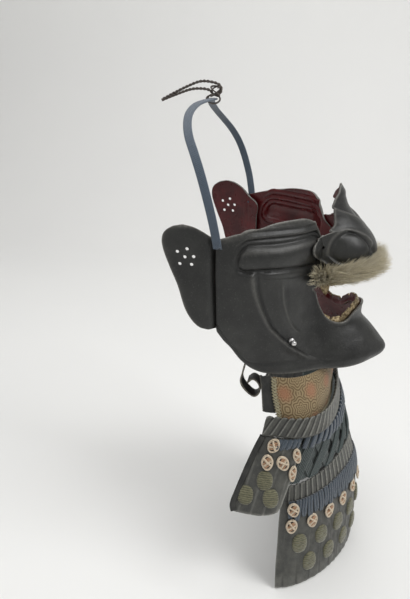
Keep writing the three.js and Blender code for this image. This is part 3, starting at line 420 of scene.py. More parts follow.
def print_look():
    """Deerskin with a stencilled lattice of plain round flowers and small leaves."""
    look = Look("printed_leather", rough=0.75, specular=0.25, sheen=0.15)
    along, down = look.uv()
    pitch = 21.0
    base = look.mix(look.noise(70, 4), (0.22, 0.16, 0.085), (0.33, 0.26, 0.15))

    def flower(shift_x, shift_y, petals, rings):
        x = look.math("SUBTRACT", look.math("MODULO", look.math("ADD", along, 400 * pitch + shift_x), pitch), pitch / 2)
        y = look.math("SUBTRACT", look.math("MODULO", look.math("ADD", down, 400 * pitch + shift_y), pitch), pitch / 2)
        r = look.math("SQRT", look.math("ADD", look.math("MULTIPLY", x, x), look.math("MULTIPLY", y, y)))
        angle = look.math("ARCTAN2", y, x)
        lobe = look.math("MULTIPLY", look.math("COSINE", look.math("MULTIPLY", angle, petals)), 0.75)
        lines = look.wave(look.math("ADD", r, lobe), rings)
        return r, lines

    r1, lines1 = flower(3.0, 0.0, 8.0, 2.3)
    r2, lines2 = flower(3.0 + pitch / 2, pitch / 2, 6.0, 1.9)
    nearer = look.math("LESS_THAN", r1, r2)
    lines = look.mix(nearer, lines2, lines1)
    ink = look.steps(look.math("MULTIPLY_ADD", look.noise(900, 3), 0.5, look.math("MULTIPLY", lines, 0.75)), (0.50, 1.0), (0.62, 0.0))
    colour = look.mix(look.math("MULTIPLY", ink, 0.85), base, (0.10, 0.062, 0.028))
    rose = look.steps(r1, (0.0, 0.75), (1.0, 0.75))
    near_middle = look.steps(look.math("DIVIDE", r1, 9.0), (0.25, 0.6), (0.75, 0.0))
    colour = look.mix(near_middle, colour, (0.33, 0.135, 0.075))
    look.add_height(look.noise(1800, 3), 0.0001)
    look.add_height(ink, 0.00008)
    return look.done(colour)


def wire_look():
    look = Look("black_wire", rough=0.5, metal=0.1, specular=0.5)
    colour = look.mix(look.noise(900, 3), (0.035, 0.028, 0.024), (0.12, 0.10, 0.085))
    look.add_height(look.noise(2000, 2), 0.0001)
    return look.done(colour)


IRON = iron_look("patinated_iron")
RED = lacquer_look()
BRASS = brass_look()
STEEL = steel_look()
HAIR = hair_look()
LAME = lame_look()
LEATHER = leather_look()
BOSS = boss_look()
PRINT = print_look()
WIRE = wire_look()
STRAP = cord_look("strap_braid", (0.022, 0.032, 0.045), (0.085, 0.115, 0.155), period=1.5)
BLUE = cord_look("blue_lacing", (0.010, 0.015, 0.022), (0.075, 0.098, 0.125), period=1.1)
TEAL = cord_look("hanging_lacing", (0.008, 0.013, 0.013), (0.062, 0.085, 0.082), period=1.1)
PALE = cord_look("pale_braid", (0.26, 0.19, 0.12), (0.78, 0.66, 0.50), period=1.0)
ORANGE = cord_look("orange_braid", (0.16, 0.085, 0.045), (0.48, 0.28, 0.16), period=1.0)

# ------------------------------------------------------------------ strap and wire tie
STRAP_ROUTE = [
    (-68, -0.1, -2.4), (-72.2, -0.1, -2.2), (-75.1, 0, -0.8), (-76.2, 0.3, 3), (-77.2, 1.4, 10), (-77.9, 3.4, 20), (-77, 7.2, 34),
    (-74, 11.4, 46), (-68.4, 16.2, 56), (-60, 21.4, 64.6), (-49, 25, 71.6), (-37, 26.4, 77.2), (-24, 25, 81.2), (-12, 21.6, 83),
    (0, 18.4, 83.6)]
TIE_RING = dict(centre=(0, 18.4, 83.6), wide=4.8, tall=2.8)
TIE_STRANDS = [
    [(0, 15, 86), (0, 12.8, 89.6), (0, 14.6, 93.2), (0.6, 21, 95), (1.4, 28.5, 95), (2.4, 37, 92), (3.6, 46, 88), (5, 57, 82.6)],
    [(0, 18, 86.2), (0, 21, 89.4), (0.6, 27, 90.4), (1.6, 35, 89.8), (3.2, 45, 86.6), (5, 57, 82.2)]]
STRAP_WIDTH, STRAP_THICK = 5.6, 1.3


def make_tie():
    parts = []

    def twisted(route, count, pitch, radius, spread, closed=False):
        path = catmull(route, count, closed)
        tangent = np.gradient(path, axis=0)
        tangent /= np.linalg.norm(tangent, axis=1, keepdims=True)
        side = np.cross(tangent, [1.0, 0.0, 0.0])
        side /= np.linalg.norm(side, axis=1, keepdims=True) + 1e-9
        other = np.cross(tangent, side)
        run = np.concatenate([[0], np.cumsum(np.linalg.norm(np.diff(path, axis=0), axis=1))])
        for k in range(2):
            a = run * 2 * np.pi / pitch + k * np.pi
            parts.append(tube(path + spread * (side * np.cos(a)[:, None] + other * np.sin(a)[:, None]), radius, 7))

    for route in TIE_STRANDS:
        twisted(route, 150, 5.5, 0.55, 0.5)
    cx, cy, cz = TIE_RING["centre"]
    angles = np.linspace(0, 2 * np.pi, 60)
    for k, lean in enumerate((-0.9, 0.2, 1.1)):
        ring = np.stack([cx + lean + 0.8 * np.sin(angles * 2 + k), cy - (TIE_RING["wide"] - 0.2 * k) * np.cos(angles),
                         cz + (TIE_RING["tall"] + 0.15 * k) * np.sin(angles)], 1)
        parts.append(tube(ring, 0.55, 7))
    knot = np.linspace(0, 1, 130)
    tangle = np.stack([1.6 * np.sin(knot * 17), cy - 1.4 + 3.2 * np.cos(knot * 23), cz + 5.2 + 3.4 * np.sin(knot * 14.5 + 0.6)], 1)
    parts.append(tube(tangle, 0.5, 6))
    verts, faces, uv = merge(parts)
    return piece("wire_tie_twists", verts, faces, [WIRE], uv=uv, replaces=("wire_tie",))


def make_strap(tie):
    route = STRAP_ROUTE + [(-x, y, z) for x, y, z in reversed(STRAP_ROUTE[:-1])]
    path = catmull(route, 240)
    tucked = 1 - smooth(abs(path[:, 0]) * 0.6 + path[:, 2], 41.5, 47)
    outward = np.stack([path[:, 0] * (1 - 0.75 * tucked), 0 * tucked, path[:, 2] * 0.9 + 60 * tucked], 1)
    verts, faces, uv = tube(path, 1, 20, flat=(STRAP_WIDTH, STRAP_THICK), outward=outward)
    band = piece("strap_braided", verts, faces, [STRAP], uv=uv, replaces=("strap",))
    length = float(np.linalg.norm(np.diff(path, axis=0), axis=1).sum())
    print("strap length mm", round(length, 1))


make_strap(make_tie())

# ------------------------------------------------------------------ the mask
FACE_DEGREES = (0, 12, 24, 37, 55, 74, 92, 106)
FACE = {
    -99: (92, 83.5, 74.5, 62.5, 59.8, 57.5, 55, 54), -92: (95.5, 87.5, 75, 62.5, 57, 58, 57, 57),
    -85: (91, 84.5, 72, 60, 56.5, 59, 60, 62), -76: (83.5, 78, 67, 56.5, 55.8, 60, 62.5, 66),
    -68: (76, 72, 63, 54, 55, 60, 64.5, 72), -60: (75.5, 71.5, 61.5, 52.5, 54.5, 60, 66.5, 74.5),
    -52: (74.5, 70.5, 60.5, 51, 54, 60, 67, 75.5), -40: (72.5, 68.5, 59, 50, 53, 60, 67.5, 76),
    -30: (70, 66, 57, 49.5, 53, 60.5, 68, 76.5), -20: (68, 65, 57.5, 50, 55, 62, 69, 77),
    -8: (66, 64, 58, 51.5, 57, 63, 70, 77), 4: (64, 62, 57, 51.5, 56, 61, 69, 77), 16: (60, 59, 56, 52, 55.5, 60, 68, 77)}
LEVEL = Table("deg top groove bone foot step upper lower crease rim", [
    (0, -23, -25, -26.5, -29.5, -33.5, -37, -57.5, -91, -95.4), (6, -22.5, -24.5, -26, -29, -33.3, -36.8, -58, -91.1, -95.4),
    (12, -20, -22.5, -24, -28, -33, -36.5, -60.5, -91.6, -97), (18, -17, -20, -21.5, -26.5, -33, -36.5, -65.8, -91.8, -97.8),
    (24, -13.5, -15.5, -17.5, -25, -33, -36.7, -65.8, -91.9, -98), (30, -8, -10, -12, -23.5, -33, -37.2, -61, -92, -98),
    (34, -4, -6.5, -9, -22.3, -33, -38.2, -51, -91.8, -97.9), (37, 2, -1.5, -4.5, -21.6, -32.9, -40.5, -40.5, -91.4, -97.7),
    (41, 7.4, 1.6, -2.2, -20.6, -32.4, -40.3, -40.3, -90.8, -97.5), (46.5, 10.7, 2.3, -1.1, -19.8, -31.6, -40.1, -40.1, -89.8, -97.3),
    (53, 12.9, 2.6, -0.8, -19.1, -30.6, -40, -40, -88.6, -97.2), (60, 13.5, 2.7, -1, -18.4, -29.3, -39.8, -39.8, -88.2, -97.1),
    (74, 12.8, 2.9, -1.5, -16.9, -26.4, -39.5, -39.5, -88, -96.4), (84, 10.7, 2.9, -1.2, -16.5, -24.6, -38.5, -38.5, -88, -94.8),
    (92, 8.7, 2.2, -1.7, -17, -25.5, -37.5, -37.5, -86, -90), (99, 6.2, -3, -7, -19, -27.5, -36, -36, -74.5, -79),
    (106, 3.4, -6, -10, -22, -29, -35, -35, -55, -60)])
# Creases of the cheek by height: the deep smile fold, and the rib beside the mouth.
FOLD = ((-91.7, -84.7, -74, -66.7, -58.2, -50.2, -41.2, -30.7, -20.7), (36.5, 48.7, 62.7, 69.7, 76.5, 80, 83.2, 85.7, 86.7))
RIB = ((-68, -65.5, -59.7, -50, -40.7, -32, -26), (53.5, 56.5, 61.2, 65.5, 68, 69, 69.5))
CORNER = 37.0


def plain_radius(deg, z):
    zs = sorted(FACE)
    rows = np.array([FACE[k] for k in zs], float)
    flat = z.ravel()
    columns = [through(zs, rows[:, k], flat) for k in range(8)]
    xs = (-24, -12) + FACE_DEGREES
    return through(xs, np.array([columns[2], columns[1]] + columns), deg.ravel()).reshape(deg.shape)


def relief(deg, z):
    """Height of the embossing over the plain mask, how much its ridges are worn, and painted shade for its creases."""
    run = deg * 1.12
    bone, foot, groove, step = LEVEL.bone(deg), LEVEL.foot(deg), LEVEL.groove(deg), LEVEL.step(deg)
    along = smooth(deg, 35, 42)
    middle, half = (bone + foot) / 2, (bone - foot) / 2
    past = np.maximum(deg - 90, 0) * 1.15
    d = np.clip(np.hypot(past, z - middle) / half, 0, 1)
    height = 2.9 * along * (1 - d**2.4) ** 0.62
    side = 1 - smooth(deg, 90, 99)
    height += along * side * (-1.3 * hill(z - groove, 0.9) + 1.0 * hill(z - groove - 2.3, 1.2) - 0.6 * hill(z - groove - 5.2, 0.8)
                              + 0.45 * hill(z - groove - 6.8, 0.9))
    around = np.hypot(past, z - middle) - half
    height -= 0.9 * along * hill(around - 1.1, 1.0)
    height += 0.5 * along * smooth(deg, 60, 80) * hill(around - 3.4, 1.3)
    shelf = smooth(deg, 40, 48) * (1 - smooth(deg, 80, 86))
    under = through((45, 50, 65, 78, 90), (-26, -25.5, -24, -22.2, -21), deg)
    height += shelf * (-0.9 * hill(z - foot + 1.5, 1.5) + 1.1 * smooth(z, under - 2.6, under - 0.4) * (1 - smooth(z, under + 0.4, foot - 0.6)))
    fold = through(*FOLD, z)
    behind = (deg - fold) * 0.98
    length = smooth(z, -94, -80) * (1 - smooth(z, -22.5, -16.5))
    height += length * (2.7 * smooth(behind, -0.5, 1.3) * np.exp(-(np.maximum(behind - 1.3, 0) / 6.5) ** 1.7)
                        - 1.2 * hill(behind + 0.5, 0.9) - 0.5 * hill(behind + 3.4, 2.6))
    beside = (deg - through(*RIB, z)) * 0.96
    inside = smooth(z, -69, -63) * (1 - smooth(z, -33, -27))
    height += inside * (1.0 * smooth(beside, -1.4, 0.6) * (1 - smooth(beside, 3, 9)) - 0.45 * hill(beside + 2.4, 1.4)
                        - 0.35 * hill(beside - 2.4, 0.8))
    lip = np.where(deg < CORNER, 1.0, 0.0) * (0.9 * hill(z - LEVEL.lower(deg), 1.8))
    height += lip + 0.5 * hill(z - LEVEL.crease(deg) + 3.2, 2.0) * smooth(deg, 0, 8) - 0.45 * hill(z - LEVEL.crease(deg), 0.8)
    seam = hill((deg - 58.5) - (z + 77) * 0.38, 0.5) * smooth(z, -86, -83) * (1 - smooth(z, -74, -72))
    height -= 0.35 * seam
    worn = (0.9 * hill(z - LEVEL.top(deg), 0.8) + 0.22 * hill(z - LEVEL.top(deg) + 1.5, 2.0) + 0.75 * hill(z - LEVEL.rim(deg), 0.9)
            + 0.25 * hill(z - (bone - 2.6), 1.6) * along * side + 0.35 * hill(behind - 1.6, 1.0) * length + 0.3 * hill(beside - 0.3, 0.6) * inside
            + 0.22 * hill(z - groove - 1.8, 0.7) * along * side
            + np.where(deg < CORNER + 1, 0.8, 0) * (hill(z - LEVEL.lower(deg), 0.9) + hill(z - LEVEL.upper(deg), 0.9)))
    # Painted shade: darkens the fold crease, the groove, the ring round the cheekbone, the crease above the lower rim
    # and the seam.
    painted_shade = (0.85 * hill(behind + 0.7, 0.7) * length + 0.45 * hill(z - groove, 0.8) * along * side + 0.5 * hill(around - 0.9, 0.9) * along
            + 0.5 * hill(z - LEVEL.crease(deg), 0.7) + 0.5 * seam)
    return height * smooth(deg, 28, 34) + (1 - smooth(deg, 28, 34)) * lip, np.clip(worn, 0, 1), np.clip(painted_shade, 0, 0.9)


def polar(deg, radius, z):
    a = np.radians(deg)
    return np.stack([radius * np.sin(a), AXIS_Y - radius * np.cos(a), z], -1)


def face_radius(deg, z):
    at = np.abs(deg)
    return plain_radius(at, z) + relief(at, z)[0]


def make_mask():
    half = np.concatenate([np.linspace(0, CORNER, 43), np.linspace(CORNER, 106, 79)[1:]])
    columns = np.concatenate([-half[:0:-1], half])
    at = abs(columns)
    spans = [("top", "groove", 16), ("groove", "bone", 6), ("bone", "foot", 24), ("foot", "step", 12), ("step", "upper", 10)]
    rows = [LEVEL.top(at)]
    for a, b, count in spans:
        low, high = getattr(LEVEL, a)(at), getattr(LEVEL, b)(at)
        rows += [low + (high - low) * (i + 1) / count for i in range(count)]
    mouth_row = len(rows) - 1
    lip = np.where(at < CORNER, LEVEL.lower(at), LEVEL.upper(at))
    jaw = 56
    rows += [lip + (LEVEL.crease(at) - lip) * i / jaw for i in range(jaw + 1)]
    rows += [LEVEL.crease(at) + (LEVEL.rim(at) - LEVEL.crease(at)) * (i + 1) / 7 for i in range(7)]
    z = np.array(rows)
    deg = np.tile(columns, (len(rows), 1))
    height, worn, painted_shade = relief(abs(deg), z)
    radius = plain_radius(abs(deg), z) + height
    points = polar(deg, radius, z)
    floor = points[-1].copy()
    under = floor[:, 1] < -80
    extra, worn_extra = [], []
    for share in (0.12, 0.3, 0.6, 1.0):
        row = floor.copy()
        row[under, 1] += (-80 - row[under, 1]) * share
        row[under, 0] *= 1 - 0.06 * share
        row[under, 2] -= share
        extra.append(row)
        worn_extra.append(np.zeros(len(columns)))
    points = np.concatenate([points, np.array(extra)])
    worn, painted_shade = np.concatenate([worn, np.array(worn_extra)]), np.concatenate([painted_shade, np.array(worn_extra)])
    normals = grid_normals(points)
    normals[-5:, ~under] = normals[-6, ~under]
    normals[mouth_row] = normals[mouth_row - 1]
    normals[mouth_row + 1] = normals[mouth_row + 2]
    skip = np.zeros((len(points) - 1, len(columns) - 1), bool)
    skip[mouth_row] = True
    closed = at >= CORNER - 1e-6

    def weld(index):
        index = index.copy()
        index[mouth_row + 1, closed] = index[mouth_row, closed]
        for k in range(1, 5):
            index[-k, ~under] = index[-5, ~under]
        return index

    shell("mask_embossed", points, 1.7, [IRON, RED], weld=weld, skip=skip, wear=worn, painted_shade=painted_shade, normals=normals, replaces=("mask_plate",))


# ------------------------------------------------------------------ the nose piece
NOSE = Table("z half ridge edge foot", [
    (-25.2, 29, 76, 57, 31), (-22, 31.5, 79.6, 56, 32), (-18.3, 36, 81.6, 54, 33), (-15, 43.5, 81.8, 53, 33), (-11, 48.5, 80.6, 52, 33),
    (-7, 49.5, 78.4, 51.5, 33), (-3.5, 46, 75.8, 51.3, 33), (-1.6, 37, 74, 51.3, 32), (0.8, 28.5, 72, 51.2, 31), (4, 24.2, 69, 51, 30),
    (8, 22.6, 65.6, 50.8, 29), (11.5, 22.2, 63, 50.6, 29), (15, 21.3, 60.8, 50.6, 28), (19, 18.2, 59.3, 51.2, 25),
    (23, 13.8, 57.2, 51.4, 20), (26.5, 8, 54.8, 51.8, 13), (29, 1.6, 53.2, 52.8, 6)])
NOSE_LIFT = 2.75
PIN = (35.2, -9.5, 1.1)


def nose_radius(deg, z):
    at = abs(deg)
    edge, ridge = NOSE.edge(z), NOSE.ridge(z)
    across = np.clip(at / NOSE.foot(z), 0, 1)
    radius = edge + (ridge - edge) * (1 - across**2) ** 1.35
    brow = 5.4 + 0.5 * at
    radius -= 1.9 * smooth(z, brow - 0.4, brow + 0.5) * (1 - smooth(z, 19, 25))
    reach = np.hypot(np.radians(at - 20) * 64, z + 11.5)
    over = smooth(z, -15, -9)
    radius += 2.9 * np.cos(np.clip(reach / 10, 0, 1) * np.pi / 2) ** 0.8 - (1.0 + 1.3 * over) * hill(reach - 10.6, 1.0) + 1.1 * hill(reach - 12.8, 1.1)
    radius -= 2.6 * hill(np.hypot(np.radians(at - 8.5) * 76, (z + 14) * 0.42), 1.3)
    low = np.maximum(radius, face_radius(at, z) + NOSE_LIFT)
    return np.where(z > 1, radius, low), reach, brow


def make_nose():
    rows = np.concatenate([np.linspace(29, 14, 40), np.linspace(14, -25.2, 106)[1:]])
    share = np.linspace(-1, 1, 121)
    z = np.tile(rows[:, None], (1, len(share)))
    deg = share * NOSE.half(z)
    at, hole_z, hole_r = PIN
    for side in (-1, 1):
        dx, dz = np.radians(deg - side * at) * 56, z - hole_z
        d = np.hypot(dx, dz) + 1e-9
        snap = (d > hole_r * 0.45) & (d < hole_r * 1.35)
        deg = np.where(snap, side * at + np.degrees(dx / d * hole_r / 56), deg)
        z = np.where(snap, hole_z + dz / d * hole_r, z)
    radius, reach, brow = nose_radius(deg, z)
    points = polar(deg, radius, z)
    normals = grid_normals(points)
    inside = np.zeros(z.shape, bool)
    for side in (-1, 1):
        inside |= np.hypot(np.radians(deg - side * at) * 56, z - hole_z) < hole_r * 1.02
    skip = inside[:-1, :-1] & inside[1:, :-1] & inside[:-1, 1:] & inside[1:, 1:]
    edge = 1 - abs(share)[None] + 0 * z
    worn = 0.85 * hill(edge * NOSE.half(z), 0.9) + 0.4 * hill(reach - 12.8, 1.0) * (z > -16) + 0.4 * hill(z - brow + 0.9, 0.7)
    worn += 0.45 * hill(abs(deg), 3) * smooth(z, -24, -8)
    pit = hill(np.hypot(np.radians(abs(deg) - 8.5) * 76, (z + 14) * 0.42), 1.1)
    # Painted shade: darkens the nostril pit, the groove round the nostril dome and the step along the brow.
    painted_shade = 0.8 * pit + 0.7 * hill(reach - 10.6, 0.8) * smooth(z, -18, -10) + 0.35 * hill(z - brow - 0.9, 0.8)
    shell("nose_embossed", points, 1.4, [IRON, RED], skip=skip, wear=np.clip(worn, 0, 1), painted_shade=np.clip(painted_shade, 0, 0.9), normals=normals,
          replaces=("nose_piece",))


# ------------------------------------------------------------------ ear plates, studs, teeth
EAR = Table("z rear front", [
    (-58, 6, -3), (-56, 11.5, -5), (-50, 17.2, -6), (-42, 21.3, -6), (-27, 25.6, -6), (-15, 30.4, -6), (-3, 34.6, -6), (4, 35.3, 2.6),
    (9, 33.2, 9), (12.4, 28, 15.5), (13.4, 23.5, 20.5)])
EAR_Y = (-6, -2, 0.5, 3, 6, 9, 14, 24, 36)
EAR_X = (66.6, 67.9, 69.2, 71.8, 74.5, 75.7, 76.8, 77.6, 78)
EAR_HOLES = ((25.4, -4.2), (19.1, -2.2), (20.6, -7.6), (14.9, -7.2), (23.9, -12.2), (16.3, -12.4))
EAR_HOLE = 1.15


def make_ear_plates():
    rows = np.concatenate([13.4 - 3.4 * np.linspace(0, 1, 16) ** 2, np.linspace(10, -50, 150)[1:], -58 + 8 * np.linspace(1, 0, 24)[1:] ** 1.6])
    share = np.linspace(0, 1, 96)
    z = np.tile(rows[:, None], (1, len(share)))
    y = EAR.rear(z) + (EAR.front(z) - EAR.rear(z)) * share
    inside = np.zeros(z.shape, bool)
    for hy, hz in EAR_HOLES:
        dy, dz = y - hy, z - hz
        d = np.hypot(dy, dz) + 1e-9
        snap = (d > EAR_HOLE * 0.6) & (d < EAR_HOLE * 1.25)
        y, z = np.where(snap, hy + dy / d * EAR_HOLE, y), np.where(snap, hz + dz / d * EAR_HOLE, z)
        inside |= np.hypot(y - hy, z - hz) < EAR_HOLE * 1.02
    skip = inside[:-1, :-1] & inside[1:, :-1] & inside[:-1, 1:] & inside[1:, 1:]
    edge = np.minimum(np.minimum(share, 1 - share)[None] * abs(EAR.front(z) - EAR.rear(z)), 99)
    rim = 0.9 * hill(edge, 0.8) + 0.9 * hill(z - 13.4, 1.6)
    worn = np.clip(rim + 0.15 * hill(edge, 3), 0, 1)
    x = through(EAR_Y, EAR_X, y) - 0.25 * hill(edge, 0.5)
    for side, name in ((-1, "ear_plate_right"), (1, "ear_plate_left")):
        points = np.stack([side * x, y, z], -1)
        if side > 0:
            shell(name + "_fine", points[:, ::-1], 1.4, [IRON, RED], skip=skip[:, ::-1], wear=worn[:, ::-1], replaces=(name,))
        else:
            shell(name + "_fine", points, 1.4, [IRON, RED], skip=skip, wear=worn, replaces=(name,))


def lathe(profile, centre, direction, sides=24):
    z = np.asarray(direction, float) / np.linalg.norm(direction)
    x = np.cross([0.1, 0.2, 1.0], z)
    x /= np.linalg.norm(x)
    y = np.cross(z, x)
    a = np.linspace(0, 2 * np.pi, sides, endpoint=False)
    verts = np.concatenate([centre + z * h + r * (np.outer(np.cos(a), x) + np.outer(np.sin(a), y)) for r, h in profile])
    faces = [[i * sides + k, i * sides + (k + 1) % sides, (i + 1) * sides + (k + 1) % sides, (i + 1) * sides + k]
             for i in range(len(profile) - 1) for k in range(sides)]
    faces += [list(range(sides))[::-1], [(len(profile) - 1) * sides + k for k in range(sides)]]
    return verts, faces, np.zeros((len(verts), 2))


def make_studs():
    for side, name in ((-1, "jaw_stud_right"), (1, "jaw_stud_left")):
        deg, z = np.array([side * 60.4]), np.array([-72.6])
        foot = polar(deg, face_radius(deg, z) + 0.3, z)[0]
        outward = [side * math.sin(math.radians(60.4)), -math.cos(math.radians(60.4)), 0.0]
        profile = [(2.3, 0), (2.3, 0.8), (2.0, 1.15), (1.15, 1.4), (1.05, 3.1), (1.5, 3.5), (1.9, 4.0), (1.8, 4.8), (1.2, 5.5), (0.3, 5.7)]
        verts, faces, uv = lathe(profile, foot, outward)
        piece(name + "_peg", verts, faces, [STEEL], uv=uv, replaces=(name,))


def make_teeth():
    def row(name, reach, count, inset, root, tip, bulge):
        columns = np.linspace(-reach, reach, count * 14 + 1)
        phase = np.mod((columns + reach) / (2 * reach) * count, 1.0)
        peak = np.minimum(1, 1.9 * np.sin(np.pi * phase) ** 0.8)
        top, bottom = tip(columns, peak), root(columns)
        share = np.linspace(0, 1, 12)[:, None]
        z = bottom + (top - bottom) * share
        if top[0] > bottom[0]:
            z, share = z[::-1], share[::-1]
        deg = np.tile(columns, (12, 1))
        round_ = bulge * (np.sin(np.pi * phase)[None] ** 0.6) * np.sin(np.pi * np.clip(share, 0, 1) * 0.9 + 0.1)
        points = polar(deg, face_radius(deg, z) - inset + round_, z)
        shell(name + "_row", points, 1.2, [BRASS, RED], replaces=(name,))

    row("lower_teeth", 30, 10, 3.5, lambda d: LEVEL.lower(abs(d)) - 4,
        lambda d, peak: LEVEL.lower(abs(d)) + 3.6 - 2.6 * (1 - peak), 0.9)
    row("upper_teeth", 30, 10, 3.1, lambda d: LEVEL.upper(abs(d)) + 4,
        lambda d, peak: LEVEL.upper(abs(d)) - 3 + 1.8 * (1 - peak) - 6 * hill(abs(d) - 27, 2.2), 0.8)


make_mask()
make_nose()
make_ear_plates()
make_studs()
make_teeth()

# ------------------------------------------------------------------ the moustache
FANS = [  # height of the roots, the middle and the tip of the hair (how far out, how far up), share of strands
    dict(z=-29.0, mid=(9.5, 1.6), tip=(19, 12), thick=5.0, reach=36, share=0.34),
    dict(z=-30.6, mid=(13, 1.4), tip=(22, 5.5), thick=6.4, reach=37, share=0.38),
    dict(z=-32.8, mid=(8, 0.4), tip=(14, 0.5), thick=5.0, reach=35, share=0.28)]
HAIR_COUNT = 5200


def make_moustache():
    steps, sides = 7, 3
    t = np.linspace(0, 1, steps)
    verts, uvs, faces = [], [], []
    for fan in FANS:
        count = int(HAIR_COUNT * fan["share"])
        deg = rng.uniform(-fan["reach"], fan["reach"], count)
        lift = rng.uniform(-1, 1, count)
        z = fan["z"] + lift * fan["thick"] / 2
        root = polar(deg, face_radius(deg, z) + 0.8, z)
        side = abs(deg) / fan["reach"]
        lock = np.round(deg / 4.1) * 4.1
        lean = 0.55 * lock + 0.45 * deg + rng.normal(0, 3.5, count)
        turn = lean * 0.75 + np.sign(deg) * 38 * smooth(side, 0.75, 1)
        stretch = (1 - 0.22 * side) * rng.uniform(0.72, 1.06, count)

        def at(key, share):
            out, up = fan[key]
            a = np.radians(deg + turn * share)
            rise = up * (1 - 0.35 * side) + rng.normal(0, 0.8, count) * share + lift * fan["thick"] * (0.5 - 0.35 * share)
            return root + np.stack([np.sin(a) * out * stretch, -np.cos(a) * out * stretch, rise], 1)

        mid, tip = at("mid", 0.7), at("tip", 1.0)
        a, b = t[None, :, None], 1 - t[None, :, None]
        path = b**2 * root[:, None] + 2 * a * b * mid[:, None] + a**2 * tip[:, None]
        path += rng.normal(0, 0.12, path.shape) * a
        tangent = np.gradient(path, axis=1)
        tangent /= np.linalg.norm(tangent, axis=2, keepdims=True)
        across = np.cross(tangent, [0.2, 0.3, 0.93])
        across /= np.linalg.norm(across, axis=2, keepdims=True)
        other = np.cross(tangent, across)
        radius = (0.19 * (1 - 0.75 * t**1.5))[None, :, None]
        ring = [path + radius * (across * math.cos(k * 2.094) + other * math.sin(k * 2.094)) for k in range(sides)]
        strands = np.stack(ring, 2).reshape(-1, 3)
        base = sum(len(v) for v in verts)
        verts.append(strands)
        tone = rng.beta(2.2, 2.6, count)
        uvs.append(np.stack([np.tile(np.repeat(t, sides), count), np.repeat(tone, steps * sides)], 1))
        start = base + np.arange(count)[:, None, None] * steps * sides + np.arange(steps - 1)[None, :, None] * sides
        k = np.arange(sides)[None, None]
        m = (k + 1) % sides
        faces += np.stack([start + k, start + m, start + sides + m, start + sides + k], 3).reshape(-1, 4).tolist()
    verts, uvs = np.concatenate(verts), np.concatenate(uvs)
    piece("moustache_hair", verts, faces, [HAIR], uv=uvs, replaces=("moustache",))
    z, deg = np.linspace(-27, -36.4, 12), np.linspace(-35.5, 35.5, 90)
    zz, dd = np.meshgrid(z, deg, indexing="ij")
    bulge = 0.9 * np.sin(np.pi * (zz + 36.4) / 9.4)
    shell("moustache_backing", polar(dd, face_radius(dd, zz) + 2.2 + bulge, zz), 1.4, [HAIR, HAIR],
          uv=np.stack([0.2 + 0 * zz, 0.1 + 0.2 * rng.random(zz.shape)], -1))


# ------------------------------------------------------------------ the throat guard
PANEL = Table("z half front side end square", [
    (-99.6, 54, -78.2, -42, -36.5, 1.9), (-110, 57.5, -78.4, -43, -38, 2.2), (-120, 61, -78.2, -43.5, -41, 2.5),
    (-130, 63.4, -77.8, -44, -43, 2.7)])
UPPER = Table("z half front side end square", [
    (-124.5, 65.6, -82, -44, -34.5, 2.7), (-130, 67, -83, -44, -33.5, 2.7), (-139, 69, -85.2, -44, -32, 2.6)])
HANGING = Table("z half front side end square", [
    (-139.5, 61.6, -84.2, -45, -44, 2.5), (-152, 62, -88, -46, -45, 2.1), (-168, 63, -92, -47, -46, 1.75),
    (-182.6, 64.4, -94.2, -48, -47, 1.6)])
FRONT = Table("z half front side end square", [
    (-183, 65, -95.2, -49, -48, 1.6), (-195, 67.2, -99.4, -48.5, -48, 1.6), (-213, 70, -103.6, -48, -47.5, 1.6),
    (-232, 73, -105.4, -47.5, -47.5, 1.6), (-252, 75.8, -105.6, -47.3, -47.3, 1.6), (-269, 78, -105, -47.8, -47.8, 1.6)])
RISE = 11.5
SIDE = Table("z out rear front curl", [
    (-139.9, 68.6, -32.5, -57.5, 3), (-150, 71.5, -28, -58, 5), (-164, 77, -22.5, -57, 8), (-178, 83.5, -17.5, -52.5, 7),
    (-188, 88, -14.5, -49.5, 6), (-192.5, 90, -16, -47, 6)])
HEAD = 5.4              # one scale head to the next, mm


class Surface:
    """A sheet looked up by share along it (0 to 1) and height."""
    def __init__(self, grid, z):
        self.grid, self.z = grid, z
        self.normals = grid_normals(grid)
        self.length = float(np.linalg.norm(np.diff(grid[len(z) // 2], axis=0), axis=1).sum())

    def at(self, share, z, lift=0.0):
        share, z = np.broadcast_arrays(np.asarray(share, float), np.asarray(z, float))
        rows, cols = self.grid.shape[:2]
        r = np.clip((self.z[0] - z) / (self.z[0] - self.z[-1]), 0, 1) * (rows - 1)
        c = np.clip(share, 0, 1) * (cols - 1)
        r0, c0 = np.minimum(r.astype(int), rows - 2), np.minimum(c.astype(int), cols - 2)
        fr, fc = (r - r0)[..., None], (c - c0)[..., None]

        def blend(a):
            return ((1 - fr) * (1 - fc) * a[r0, c0] + fr * (1 - fc) * a[r0 + 1, c0]
                    + (1 - fr) * fc * a[r0, c0 + 1] + fr * fc * a[r0 + 1, c0 + 1])
        normal = blend(self.normals)
        normal /= np.linalg.norm(normal, axis=-1, keepdims=True)
        return blend(self.grid) + normal * np.asarray(lift)[..., None], normal


def horseshoe(table, rise=lambda down: 0 * down, rows=60, cols=361):
    top, bottom = table.keys.max(), table.keys.min()
    z = np.linspace(top, bottom, rows)
    a = np.linspace(0, np.pi, 721)
    grid = np.empty((rows, cols, 3))
    for i, level in enumerate(z):
        half, front, side, end, square = (float(getattr(table, k)(level)) for k in ("half", "front", "side", "end", "square"))
        power = 2 / square
        x = np.concatenate([[-half], -half * np.sign(np.cos(a)) * abs(np.cos(a)) ** power, [half]])
        y = np.concatenate([[end], side - (side - front) * abs(np.sin(a)) ** power, [end]])
        run = np.concatenate([[0], np.cumsum(np.hypot(np.diff(x), np.diff(y)))])
        goal = np.linspace(0, run[-1], cols)
        x, y = np.interp(goal, run, x), np.interp(goal, run, y)
        forward = np.clip((side - y) / (side - front), 0, 1)
        grid[i] = np.stack([x, y, level + rise((top - level) / (top - bottom)) * forward**2], 1)
    return Surface(grid, z)


